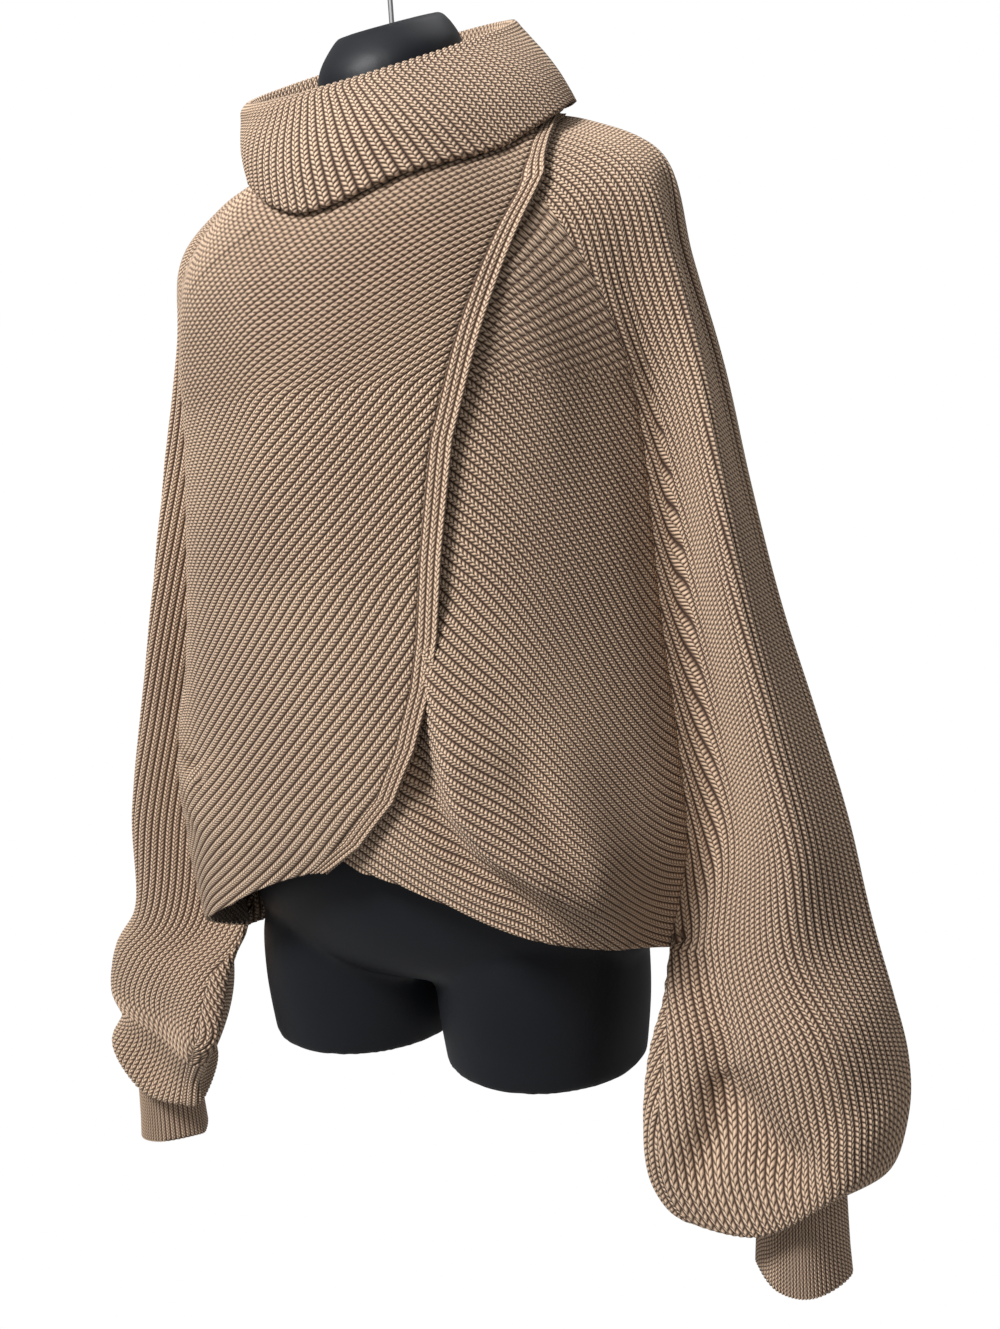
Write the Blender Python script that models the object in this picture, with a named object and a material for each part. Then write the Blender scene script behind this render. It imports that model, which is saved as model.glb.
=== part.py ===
"""Knitted wrap sweater hanging on a plain dress form, modelled in metres with +Z up.

The front faces -Y and the wearer's left is +X. Heights in the tables are measured
from the form's lower rims, and the origin is the crown of the hook it hangs by.
"""
import math
from collections import Counter, namedtuple

import bmesh
import bpy
import numpy as np

# Driving sizes
HANG_HEIGHT = 0.795            # crown of the hook above the form's lower rims
WALL = 0.0035                  # chunky half-cardigan knit
SEAM_GAP = 0.0003
APEX_GAP = 0.004               # half the opening where the four underarm seams meet
LAYER = WALL + 0.0022          # how far the over front lies outside the under front
BAND_WIDTH = 0.013             # finely knitted border of the wrap edge
ROWS_A_LEVEL = 2
YOKE_LEVEL = 3                 # above this level the rows are closer
YOKE_ROWS = 12
BODY_COLUMNS = 13
SLEEVE_COLUMNS = 9
CUFF_COLUMNS = 2 * SLEEVE_COLUMNS
BACK_COLUMNS = 9
BAND_COLUMNS = 2
COLLAR_COLUMNS = 48
COLLAR_RISE = 0.0010           # the collar's foot over the doubled fronts
FORM_COLUMNS = 32
STEP_U, STEP_LEVEL = 0.02, 0.05    # reach of the outward normal's estimate

# Rows of a cuff: heights from the cuff seam, and how far each flares
CUFF_ROWS = ((.0050, .0), (-.006, .0), (-.022, .0004), (-.040, .0010), (-.058, .0022))

# Colours and surfaces
CAMEL = (0.36, 0.23, 0.13)
KNIT_ROUGHNESS = 0.9
STEEL = (0.35, 0.35, 0.36)

# Sections of the body and upper sleeve, from the neck seam down to the hem.
# Heights are at the front centre, the side edge, the over-arm seam and the back centre.
# The edge is where the body turns into the sleeve in front, and the rear edge where it
# does behind. Fulls are how far the sleeve swells in front of and behind the line from
# the edge to the over-arm seam, and fold is the depth of the fold beside the body.
Section = namedtuple("Section", (
    "name front_h edge_h over_h back_h front_y back_y edge_x edge_y over_x over_y "
    "rear_x rear_y fore_full rear_full fold drop"))
SECTIONS = (
    Section("neck seam", .600, .618, .636, .655, -.080, .068,
            .070, -.034, .084, .012, .066, .046, .003, .003, .000, .000),
    Section("shoulder", .562, .592, .621, .628, -.108, .088,
            .108, -.054, .136, .010, .104, .066, .010, .008, .000, .000),
    Section("shoulder tip", .520, .553, .592, .590, -.124, .100,
            .146, -.058, .183, .008, .144, .072, .014, .010, .002, .000),
    Section("armhole top", .478, .500, .535, .530, -.132, .106,
            .168, -.040, .194, .008, .162, .066, .019, .012, .010, .000),
    Section("bust", .425, .440, .465, .465, -.136, .108,
            .177, -.020, .213, .010, .171, .058, .027, .015, .018, .000),
    Section("under bust", .365, .372, .390, .385, -.136, .108,
            .183, -.017, .229, .010, .178, .054, .034, .016, .026, .000),
    Section("waist", .300, .304, .315, .305, -.135, .108,
            .188, -.018, .247, .010, .183, .050, .040, .018, .031, .004),
    Section("high hip", .235, .236, .245, .230, -.134, .108,
            .195, -.020, .268, .010, .190, .046, .043, .020, .034, .008),
    Section("hip", .185, .165, .178, .155, -.130, .108,
            .199, -.024, .288, .008, .193, .026, .046, .024, .036, .018),
    Section("hem", .158, .096, .115, .092, -.124, .104,
            .183, -.026, .303, .006, .183, -.026, .048, .032, .024, .030),
)

# Sections of the sleeve below the underarm, down to the cuff seam. Lobe up is how far
# the fore lobe's foot is caught up, narrow the share of its width that the right sleeve
# keeps, and inset how much nearer the body that one hangs.
Tube = namedtuple("Tube", (
    "name seam_h over_h seam_x seam_y over_x over_y fore_full rear_full fold "
    "lobe_up drop narrow inset"))
TUBES = (
    Tube("forearm", .052, .073, .193, -.062, .315, .004, .048, .042, .024, .000, .020, 0.98, .002),
    Tube("balloon", .006, .036, .195, -.084, .324, .002, .044, .047, .026, .000, .014, 1.00, .005),
    Tube("blouson", -.034, .004, .200, -.088, .326, -.006, .046, .046, .022, .012, .012, 0.70, .006),
    Tube("turn", -.055, -.027, .220, -.082, .318, -.018, .043, .046, .010, .020, .012, 0.88, .009),
    Tube("cuff seam", -.034, -.033, .247, -.054, .297, -.042, .025, .025, .000, .000, .016, 1.0, .013),
)

# Where each named column stands round the half ring: 0 front centre, 1 side edge,
# 2 over-arm seam, 3 rear edge, 4 back centre
FRONT, BULGE, EDGE, VALLEY, LOBE, OVER, OUTER, REAR_LOBE, INNER, REAR, REAR_BULGE, BACK = range(12)
COLUMN_AT = (0.0, 0.5, 1.0, 1.28, 1.65, 2.0, 2.2, 2.55, 2.85, 3.0, 3.5, 4.0)
HEM_LEVEL = len(SECTIONS) - 1
CUFF_LEVEL = HEM_LEVEL + len(TUBES)


def along(start, end, share, push, out):
    """Point at a share of the way from start to end, pushed sideways by out."""
    start, end = np.array(start), np.array(end)
    way = end - start
    length = math.hypot(way[0], way[1])
    side = np.array((way[1], -way[0], 0.0)) / length
    return start + way * share + side * push * out


def section_columns(row, level):
    """The twelve named points of a body section, on the wearer's left."""
    down = (level / HEM_LEVEL) ** 2
    edge = (row.edge_x, row.edge_y, row.edge_h)
    over = (row.over_x, row.over_y, row.over_h)
    high = (row.over_h + row.back_h) / 2
    rear = (row.rear_x, row.rear_y, high + (row.edge_h - high) * down)
    bulge_h = row.front_h + (row.edge_h - row.front_h) * .60
    rear_h = row.back_h + (rear[2] - row.back_h) * .45
    return [
        (0.0, row.front_y, row.front_h),
        (row.edge_x * (.60 + .14 * down),
         row.front_y + (row.edge_y - row.front_y) * (.30 - .14 * down), bulge_h),
        edge,
        along(edge, over, .26, row.fore_full * .75 - row.fold, 1.0),
        along(edge, over, .64, row.fore_full, 1.0),
        over,
        along(over, rear, .10, row.rear_full * .60, 1.0),
        along(over, rear, .50, row.rear_full, 1.0),
        along(over, rear, .90 - .07 * down, row.rear_full * (.30 + .20 * down), 1.0),
        rear,
        (row.rear_x * .72, row.back_y + (row.rear_y - row.back_y) * .20, rear_h),
        (0.0, row.back_y, row.back_h),
    ]


def tube_columns(row):
    """The named points of a sleeve section below the underarm, seam to seam."""
    seam = (row.seam_x, row.seam_y, row.seam_h)
    over = (row.over_x, row.over_y, row.over_h)
    return [
        seam,
        along(seam, over, .26, row.fore_full * .90 - row.fold, 1.0),
        along(seam, over, .64, row.fore_full, 1.0) + np.array((0, 0, row.lobe_up)),
        over,
        along(over, seam, .08, row.rear_full * .62, 1.0),
        along(over, seam, .50, row.rear_full, 1.0),
        along(over, seam, 1.01, row.rear_full * .36, 1.0),
        seam,
    ]


def control_net(side):
    """Every named point of one half, side +1 the wearer's left and -1 the right."""
    net = []
    for level, row in enumerate(SECTIONS):
        points = np.array(section_columns(row, level), dtype=float)
        if side < 0:
            share = np.array([0, .5, 1, 1, 1, 1, 1, 1, 1, 1, .5, 0])
            points[:, 2] -= row.drop * share
        net.append(points)
    for row in TUBES:
        points = np.array(net[-1])
        points[EDGE:REAR + 1] = tube_columns(row)
        if side < 0:
            middle = np.array(((row.seam_x + row.over_x) / 2, (row.seam_y + row.over_y) / 2))
            ring = points[EDGE:REAR + 1]
            ring[:, :2] = middle + (ring[:, :2] - middle) * row.narrow
            ring[:, 0] -= row.inset
            ring[:, 2] -= row.drop
        for column in (FRONT, BULGE, REAR_BULGE, BACK):
            points[column] = 2 * net[-1][column] - net[-2][column]
        net.append(points)
    net = np.array(net)
    net[:, :, 0] *= side
    net[:, :, 2] -= HANG_HEIGHT
    return net


NETS = {1: control_net(1), -1: control_net(-1)}


def hermite(a, b, slope_a, slope_b, share):
    """Cubic from a to b with the given slopes over a unit run."""
    s2, s3 = share * share, share ** 3
    return ((2 * s3 - 3 * s2 + 1) * a + (s3 - 2 * s2 + share) * slope_a
            + (3 * s2 - 2 * s3) * b + (s3 - s2) * slope_b)


def level_columns(net, level):
    """The named points at any level, on smooth curves down the columns."""
    last = len(net) - 1
    row = min(int(level), last - 1)
    before, after = net[max(row - 1, 0)], net[min(row + 2, last)]
    start, end = net[row], net[row + 1]
    if row == HEM_LEVEL:
        before = before.copy()
        before[EDGE] = before[REAR] = (before[EDGE] + before[REAR]) / 2
    return hermite(start, end, (end - before) / 2, (after - start) / 2, level - row)


def surface(u, level, on_sleeve=None):
    """Point of the garment's outer face.

    u runs from -4 to 4, negative on the wearer's right, and level from the neck seam
    (0) by the hem (HEM_LEVEL) to the cuff seam (CUFF_LEVEL).
    """
    side = -1 if u < 0 else 1
    u = abs(u)
    columns = level_columns(NETS[side], level)
    if on_sleeve is None:
        on_sleeve = 1.0 <= u <= 3.0
    tube = on_sleeve and level >= HEM_LEVEL
    if tube:
        u = u + 2 if u < 1 else (u - 2 if u > 3 else u)
    at = max(i for i in range(11) if COLUMN_AT[i] <= u + 1e-9)
    flip = np.array((-1.0, 1.0, 1.0))

    def neighbour(index):
        if tube and index < EDGE:
            return columns[INNER], COLUMN_AT[INNER] - 2
        if tube and index > REAR:
            return columns[VALLEY], COLUMN_AT[VALLEY] + 2
        if index < 0:
            return columns[BULGE] * flip, -COLUMN_AT[BULGE]
        if index > BACK:
            return columns[REAR_BULGE] * flip, 8 - COLUMN_AT[REAR_BULGE]
        return columns[index], COLUMN_AT[index]

    spots = [neighbour(at + k) for k in (-1, 0, 1, 2)]
    run = spots[2][1] - spots[1][1]
    slope_a = (spots[2][0] - spots[0][0]) / (spots[2][1] - spots[0][1]) * run
    slope_b = (spots[3][0] - spots[1][0]) / (spots[3][1] - spots[1][1]) * run
    return hermite(spots[1][0], spots[2][0], slope_a, slope_b, (u - spots[1][1]) / run)


def outward(u, level):
    """Unit normal of the garment's face, the mean of what meets there."""
    side = -1 if u < 0 else 1
    u = abs(u)
    if level == CUFF_LEVEL or (level == HEM_LEVEL and u in (1, 3)):
        return np.array((0.0, 0.0, -1.0))
    total = np.zeros(3)
    for du in (-STEP_U, STEP_U):
        for dv in (-STEP_LEVEL, STEP_LEVEL):
            if not 0 <= level + dv <= CUFF_LEVEL:
                continue
            sleeve = 1 <= u <= 3 and (1 <= u + du <= 3 or level + dv > HEM_LEVEL)
            if not sleeve and level + dv > HEM_LEVEL:
                continue
            here = surface(side * u, level, sleeve)
            near_u = u + du
            if near_u < 0 or near_u > 4:
                across = surface(side * (abs(near_u) if near_u < 0 else 8 - near_u), level, sleeve)
                across = across * np.array((-1, 1, 1))
            else:
                across = surface(side * near_u, level, sleeve)
            down = surface(side * u, level + dv, sleeve)
            facing = np.cross(across - here, down - here) * math.copysign(1, du * dv)
            total += facing / (np.linalg.norm(facing) + 1e-15)
    return -side * total / np.linalg.norm(total)


# The wrap edge of the over front, as places across the body at heights above the
# form's rims, from the near shoulder seam down to the hem
WRAP_EDGE = (
    (.640, .116), (.607, .131), (.577, .138), (.552, .131), (.503, .118), (.459, .107),
    (.426, .099), (.357, .091), (.310, .087), (.280, .082), (.243, .070), (.210, .053),
    (.180, .024), (.160, -.008), (.120, -.080))


def wrap_across(height):
    """Where the wrap edge stands across the body at a height, on a smooth curve."""
    heights = [h for h, _ in WRAP_EDGE][::-1]
    places = [x for _, x in WRAP_EDGE][::-1]
    return float(np.interp(height + HANG_HEIGHT, heights, places))


def wrap_u(level):
    """The column at which the wrap edge crosses a level, found by halving."""
    low, high = -0.9, 1.9
    for _ in range(30):
        middle = (low + high) / 2
        point = surface(middle, level)
        if point[0] < wrap_across(point[2]):
            low = middle
        else:
            high = middle
    return (low + high) / 2


def smooth(start, end, value):
    """Ease from 0 at start to 1 at end."""
    share = min(max((value - start) / (end - start), 0.0), 1.0)
    return share * share * (3 - 2 * share)


def over_lift(u, level):
    """How far the over front stands out, to lie on the under front."""
    if level >= HEM_LEVEL:
        return 0.0
    full_from = max(-wrap_u(level), -0.95) - 0.05
    gone_at = -2.0 + smooth(0, HEM_LEVEL, level) * 1.0
    if u >= full_from:
        return LAYER
    return LAYER * (1 - smooth(0, full_from - gone_at, full_from - u))


def finish_piece(name, mesh_data, colour, roughness, metallic=0.0):
    """Closes a bmesh into a named object with its own material."""
    bmesh.ops.recalc_face_normals(mesh_data, faces=mesh_data.faces)
    mesh = bpy.data.meshes.new(name)
    mesh_data.to_mesh(mesh)
    mesh_data.free()
    mesh.shade_smooth()
    mesh.set_sharp_from_angle(angle=math.radians(50))
    piece = bpy.data.objects.new(name, mesh)
    collection.objects.link(piece)
    return dress(piece, colour, roughness, metallic)


def dress(piece, colour, roughness, metallic=0.0):
    """Gives a piece its own Principled material."""
    material = bpy.data.materials.new(piece.name + "_material")
    material.use_nodes = True
    shader = material.node_tree.nodes["Principled BSDF"]
    shader.inputs["Base Color"].default_value = (*colour, 1.0)
    shader.inputs["Roughness"].default_value = roughness
    shader.inputs["Metallic"].default_value = metallic
    piece.data.materials.clear()
    piece.data.materials.append(material)
    return piece


def shell_from_grids(grids, wall=WALL):
    """A closed wall from grids of (point, unit normal), joined where points coincide."""
    mesh_data = bmesh.new()
    spots, outer, inner = {}, [], []

    def index_of(point, normal):
        key = tuple(round(float(c), 7) for c in point)
        if key not in spots:
            spots[key] = len(outer)
            outer.append(mesh_data.verts.new(point))
            inner.append(mesh_data.verts.new(point - normal * wall))
        return spots[key]

    quads = []
    for grid in grids:
        rows = [[index_of(point, normal) for point, normal in row] for row in grid]
        for upper, lower in zip(rows, rows[1:]):
            for k in range(len(upper) - 1):
                quads.append((upper[k], upper[k + 1], lower[k + 1], lower[k]))
    edge_uses = Counter()
    for quad in quads:
        mesh_data.faces.new([outer[v] for v in quad])
        mesh_data.faces.new([inner[v] for v in reversed(quad)])
        edge_uses.update(frozenset(pair) for pair in zip(quad, quad[1:] + quad[:1]))
    for pair, uses in edge_uses.items():
        if uses == 1:
            a, b = sorted(pair)
            mesh_data.faces.new((outer[b], outer[a], inner[a], inner[b]))
    return mesh_data


def toward(grid_row, at, other, gap=SEAM_GAP / 2):
    """Moves one point of a row half a seam's gap toward another."""
    (point, normal), (target, _) = grid_row[at], grid_row[other]
    way = target - point
    way = way - normal * float(np.dot(way, normal))
    grid_row[at] = (point + way / np.linalg.norm(way) * gap, normal)


def patch(columns_at, levels, lift=None):
    """A grid of (point, normal) where columns_at(level) lists the columns."""
    grid = []
    for level in levels:
        row = []
        for u in columns_at(level):
            normal = outward(u, level)
            rise = lift(u, level) if lift else 0.0
            row.append((surface(u, level) + normal * rise, normal))
        grid.append(row)
    return grid


def spaced(start, end, count):
    """Evenly spaced values, with both ends."""
    return [start + (end - start) * k / count for k in range(count + 1)]


BODY_LEVELS = (spaced(0, YOKE_LEVEL, YOKE_ROWS)
               + spaced(YOKE_LEVEL, HEM_LEVEL, (HEM_LEVEL - YOKE_LEVEL) * ROWS_A_LEVEL)[1:])
ALL_LEVELS = BODY_LEVELS + spaced(HEM_LEVEL, CUFF_LEVEL, len(TUBES) * ROWS_A_LEVEL)[1:]


def sleeve_columns(side, first, last, count):
    """Columns of a sleeve half, at the same places on every level."""
    return lambda level: spaced(side * first, side * last, count)


def join_seam(body, sleeve, at):
    """Makes the sleeve's grid share the body's edge column down to the hem."""
    for k, row in enumerate(body):
        sleeve[k][0] = row[at]
    return body, sleeve


def clear_sleeve_seams(sleeve, outer_end=True):
    """Opens the inner seam below the hem, and the over-arm seam all the way."""
    for k, row in enumerate(sleeve):
        if k > len(BODY_LEVELS) - 1:
            toward(row, 0, 1, APEX_GAP * .7 if k == len(BODY_LEVELS) else SEAM_GAP / 2)
        if outer_end:
            toward(row, -1, -2)


def open_at_apex(body, sleeve, at, beside):
    """Opens the front from the back where both meet at the top of the inner seam."""
    toward(body[-1], at, beside, APEX_GAP)
    sleeve[len(BODY_LEVELS) - 1][0] = body[-1][at]


def beside_wrap(level, distance):
    """The column that lies a distance inside the wrap edge along a level."""
    edge = wrap_u(level)
    stretch = np.linalg.norm(surface(edge, level) - surface(edge - STEP_U, level)) / STEP_U
    return edge - distance / stretch


def wrap_band(name):
    """The finely knitted border along the free edge of the over front."""
    grid = patch(lambda level: spaced(beside_wrap(level, BAND_WIDTH), wrap_u(level), BAND_COLUMNS),
                 BODY_LEVELS, over_lift)
    return finish_piece(name, shell_from_grids([grid]), CAMEL, KNIT_ROUGHNESS)


def front(name, side, edge_at, lift):
    """A front with the fore half of its sleeve, from its free edge to the over-arm seam."""
    body = patch(lambda level: spaced(edge_at(level), side * 1.0, BODY_COLUMNS), BODY_LEVELS, lift)
    sleeve = patch(sleeve_columns(side, 1.0, 2.0, SLEEVE_COLUMNS), ALL_LEVELS, lift)
    join_seam(body, sleeve, -1)
    clear_sleeve_seams(sleeve)
    open_at_apex(body, sleeve, -1, -2)
    return finish_piece(name, shell_from_grids([body, sleeve]), CAMEL, KNIT_ROUGHNESS)


def back(name):
    """The back with the rear halves of both sleeves."""
    middle = patch(lambda level: spaced(3.0, 4.0, BACK_COLUMNS)
                   + spaced(-4.0, -3.0, BACK_COLUMNS)[1:], BODY_LEVELS)
    left = patch(sleeve_columns(1, 3.0, 2.0, SLEEVE_COLUMNS), ALL_LEVELS)
    right = patch(sleeve_columns(-1, 3.0, 2.0, SLEEVE_COLUMNS), ALL_LEVELS)
    join_seam(middle, left, 0)
    join_seam(middle, right, -1)
    for sleeve, at, beside in ((left, 0, 1), (right, -1, -2)):
        clear_sleeve_seams(sleeve)
        open_at_apex(middle, sleeve, at, beside)
    return finish_piece(name, shell_from_grids([middle, left, right]), CAMEL, KNIT_ROUGHNESS)


# Rings of the folded collar, from above the neck seam to the outside of the fold
CollarRing = namedtuple("CollarRing", "name centre_x radius_x front_y back_y front_h back_h")
COLLAR_RINGS = (
    CollarRing("stand foot", .000, .0770, -.0735, .0625, .614, .672),
    CollarRing("stand", -.001, .0790, -.0815, .0635, .628, .692),
    CollarRing("fold inside", -.002, .0845, -.0920, .0675, .638, .710),
    CollarRing("fold top", -.002, .0900, -.1000, .075, .643, .720),
    CollarRing("fold outside", -.002, .0940, -.1060, .081, .638, .716),
)
FALL_AT = (-4, -3, -2, -1.2, -.6, 0, .6, 1.2, 2, 3, 4)
FALL_LEVEL = (.22, .18, .12, .20, .60, .98, 1.10, 1.02, .80, .45, .22)   # of the fall's edge
FALL_BLUR = .25
FALL_CLEAR = .0012            # air between the fall's edge and the over front
FALL_ROWS = (.14, .36, .60, .82)
FALL_SWELL = .006


def grid_normals(rows):
    """Points with unit normals, for rings that close round."""
    grid = []
    for r, row in enumerate(rows):
        upper, lower = rows[max(r - 1, 0)], rows[min(r + 1, len(rows) - 1)]
        out = []
        count = len(row) - 1
        for k, point in enumerate(row):
            across = row[(k + 1) % count] - row[(k - 1) % count]
            normal = np.cross(across, lower[k] - upper[k])
            out.append((point, -normal / np.linalg.norm(normal)))
        grid.append(out)
    return grid


def collar(name):
    """The neck's rib, standing from the seam and folded over to lie on the shoulders."""
    places = spaced(-4.0, 4.0, COLLAR_COLUMNS)
    rows = []
    for ring in COLLAR_RINGS:
        middle = (ring.front_y + ring.back_y) / 2
        radius_y = (ring.back_y - ring.front_y) / 2
        row = []
        for u in places:
            turn = u * math.pi / 4
            share = (1 - math.cos(turn)) / 2
            row.append(np.array((
                ring.centre_x + ring.radius_x * math.sin(turn), middle - radius_y * math.cos(turn),
                ring.front_h + (ring.back_h - ring.front_h) * share - HANG_HEIGHT)))
        rows.append(row)
    seam, edge, lying = [], [], []
    for u in places:
        turn = u * math.pi / 4
        rise = surface(u, 0) - surface(u, .2)
        inside = surface(u, 0) - outward(u, 0) * WALL
        seam.append(inside + rise / np.linalg.norm(rise) * COLLAR_RISE)
        near = [(u + step + 4) % 8 - 4 for step in (-FALL_BLUR, 0, FALL_BLUR)]
        level = float(np.mean(np.interp(near, FALL_AT, FALL_LEVEL)))
        lying.append(outward(u, level))
        edge.append(surface(u, level) + lying[-1] * (LAYER + WALL + FALL_CLEAR))
    fold = rows[-1]
    for share in FALL_ROWS:
        swell = FALL_SWELL * math.sin(math.pi * share)
        row = []
        for u, top, foot in zip(places, fold, edge):
            turn = u * math.pi / 4
            out = np.array((math.sin(turn), -math.cos(turn), 0))
            row.append(top + (foot - top) * share + out * swell)
        rows.append(row)
    rows = [seam] + rows + [edge]
    for row in rows:
        row[-1] = row[0]
    grid = grid_normals(rows)
    grid[0] = [(point, -outward(u, 0)) for (point, _), u in zip(grid[0], places)]
    grid[-1] = [(point, (normal + flat) / np.linalg.norm(normal + flat))
                for (point, normal), flat in zip(grid[-1], lying)]
    grid[0][-1], grid[-1][-1] = grid[0][0], grid[-1][0]
    return finish_piece(name, shell_from_grids([grid]), CAMEL, KNIT_ROUGHNESS)


def cuff(name, side):
    """A cuff of fine rib, hanging from inside the turned end of its sleeve."""
    ring = [surface(side * u, CUFF_LEVEL) for u in spaced(1.0, 3.0, CUFF_COLUMNS)]
    ring[-1] = ring[0]
    centre = sum(ring[:-1]) / CUFF_COLUMNS
    rows = []
    for drop, spread in CUFF_ROWS:
        row = []
        for point in ring:
            way = (point - centre) * np.array((1, 1, 0))
            length = np.linalg.norm(way)
            row.append(point + way / length * (spread - SEAM_GAP) + np.array((0, 0, drop)))
        row[-1] = row[0]
        rows.append(row if side > 0 else row[::-1])
    return finish_piece(name, shell_from_grids([grid_normals(rows)]), CAMEL, KNIT_ROUGHNESS)


# Rings of the dress form from the crotch to the neck: heights in front and behind
FormRing = namedtuple("FormRing", "name front_h back_h half_width front_y back_y")
FORM_RINGS = (
    FormRing("crotch", .058, .058, .090, -.050, .055),
    FormRing("seat", .078, .078, .150, -.088, .084),
    FormRing("hip", .125, .125, .162, -.106, .094),
    FormRing("high hip", .190, .190, .158, -.104, .090),
    FormRing("above the hip", .245, .245, .140, -.092, .080),
    FormRing("waist", .305, .305, .128, -.086, .074),
    FormRing("ribs", .370, .370, .134, -.098, .078),
    FormRing("bust", .435, .435, .148, -.116, .084),
    FormRing("chest", .490, .490, .158, -.106, .088),
    FormRing("armholes", .535, .535, .168, -.084, .080),
    FormRing("shoulder tips", .565, .565, .166, -.062, .066),
    FormRing("shoulders", .590, .592, .140, -.052, .058),
    FormRing("shoulder slope", .6075, .6135, .107, -.0485, .0545),
    FormRing("neck foot", .6213, .6333, .0713, -.048, .052),
    FormRing("neck", .640, .662, .052, -.050, .048),
    FormRing("neck top", .669, .701, .050, -.052, .043),
    FormRing("neck crown", .694, .720, .036, -.038, .032),
)
THIGH_RINGS = (
    FormRing("rim", .000, .000, .0700, -.081, .061),
    FormRing("thigh", .050, .050, .0745, -.086, .068),
    FormRing("thigh head", .095, .095, .0700, -.084, .070),
    FormRing("thigh root", .120, .120, .0500, -.060, .050),
)
THIGH_AT = .0775
FORM_BLACK = (0.012, 0.012, 0.014)


def stacked_rings(name, rings, centre_x, columns):
    """A closed body lofted through level or slanting elliptical rings."""
    mesh_data = bmesh.new()
    loops = []
    for ring in rings:
        middle, radius_y = (ring.front_y + ring.back_y) / 2, (ring.back_y - ring.front_y) / 2
        loop = []
        for k in range(columns):
            turn = 2 * math.pi * k / columns
            share = (1 - math.cos(turn)) / 2
            loop.append(mesh_data.verts.new((
                centre_x + ring.half_width * math.sin(turn), middle - radius_y * math.cos(turn),
                ring.front_h + (ring.back_h - ring.front_h) * share - HANG_HEIGHT)))
        loops.append(loop)
    for lower, upper in zip(loops, loops[1:]):
        for k in range(columns):
            n = (k + 1) % columns
            mesh_data.faces.new((lower[k], lower[n], upper[n], upper[k]))
    mesh_data.faces.new(loops[0][::-1])
    mesh_data.faces.new(loops[-1])
    return finish_piece(name, mesh_data, FORM_BLACK, 0.5)


def as_cutter(piece):
    """Hides a helper body that only shapes another piece."""
    collection.objects.unlink(piece)
    cutters.objects.link(piece)
    piece.hide_render = True
    piece.display_type = "WIRE"


def combine(piece, other, operation):
    """Adds a Boolean that joins or cuts one body with another."""
    modifier = piece.modifiers.new(other.name, "BOOLEAN")
    modifier.operation = operation
    modifier.object = other
    modifier.solver = "EXACT"
    as_cutter(other)


WIRE_RADIUS = 0.00175
SOCKET_DEPTH = 0.030
NECK_MIDDLE = .7081            # height of the neck's slanting top over its middle
HOOK_RADIUS = 0.021


def dress_form(name):
    """The headless form: torso, two thigh stubs and the socket for the hook's rod."""
    form = stacked_rings(name, FORM_RINGS, 0.0, FORM_COLUMNS)
    for side, label in ((1, "left"), (-1, "right")):
        thigh = stacked_rings("thigh_" + label, THIGH_RINGS, side * THIGH_AT, FORM_COLUMNS)
        combine(form, thigh, "UNION")
    bpy.ops.mesh.primitive_cylinder_add(
        vertices=16, radius=WIRE_RADIUS + SEAM_GAP, depth=2 * SOCKET_DEPTH,
        location=(0, 0, NECK_MIDDLE - HANG_HEIGHT))
    socket = bpy.context.active_object
    socket.name = "socket_cutter"
    for owner in list(socket.users_collection):
        owner.objects.unlink(socket)
    collection.objects.link(socket)
    combine(form, socket, "DIFFERENCE")
    return form


def hook(name):
    """A wire rod out of the neck, bent into a hook whose crown hangs at the origin."""
    centre = -HOOK_RADIUS + WIRE_RADIUS
    foot = NECK_MIDDLE - HANG_HEIGHT - SOCKET_DEPTH + SEAM_GAP
    path = [(0.0, foot), (0.0, centre - HOOK_RADIUS - .022), (0.0, centre - HOOK_RADIUS - .018),
            (.0015, centre - HOOK_RADIUS - .012), (.006, centre - HOOK_RADIUS - .004)]
    for k in range(15):
        turn = math.radians(-48 + 252 * k / 14)
        path.append((HOOK_RADIUS * math.cos(turn), centre + HOOK_RADIUS * math.sin(turn)))
    curve = bpy.data.curves.new(name, "CURVE")
    curve.dimensions = "3D"
    curve.bevel_depth = WIRE_RADIUS
    curve.bevel_resolution = 2
    curve.use_fill_caps = True
    spline = curve.splines.new("POLY")
    spline.points.add(len(path) - 1)
    for point, (x, z) in zip(spline.points, path):
        point.co = (x, 0.0, z, 1.0)
    piece = bpy.data.objects.new(name, curve)
    collection.objects.link(piece)
    return dress(piece, STEEL, 0.3, 1.0)


for old in list(bpy.data.objects):
    bpy.data.objects.remove(old, do_unlink=True)
collection = bpy.data.collections.new("wrap_sweater_on_form")
cutters = bpy.data.collections.new("cutters")
for group in (collection, cutters):
    bpy.context.scene.collection.children.link(group)

front("front_right", -1, lambda level: beside_wrap(level, BAND_WIDTH + SEAM_GAP), over_lift)
wrap_band("wrap_band")
front("front_left", 1, lambda level: max(-wrap_u(level), -0.95), None)
back("back")
collar("collar")
cuff("cuff_left", 1)
cuff("cuff_right", -1)
dress_form("dress_form")
hook("hook")
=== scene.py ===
"""Chunky rib-knit wrap sweater on a hanging black torso form, dressed and lit for rendering.

The front faces -Y and the wearer's left is +X. Heights in the tables are measured from the
form's thigh rims, and the origin is the crown of the hook that the form hangs by.
"""
from __future__ import annotations

import logging
import math
from dataclasses import dataclass, field
from enum import Enum
from typing import Callable, NamedTuple

import bmesh
import bpy
import numpy as np
from mathutils import Matrix, Vector

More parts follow.
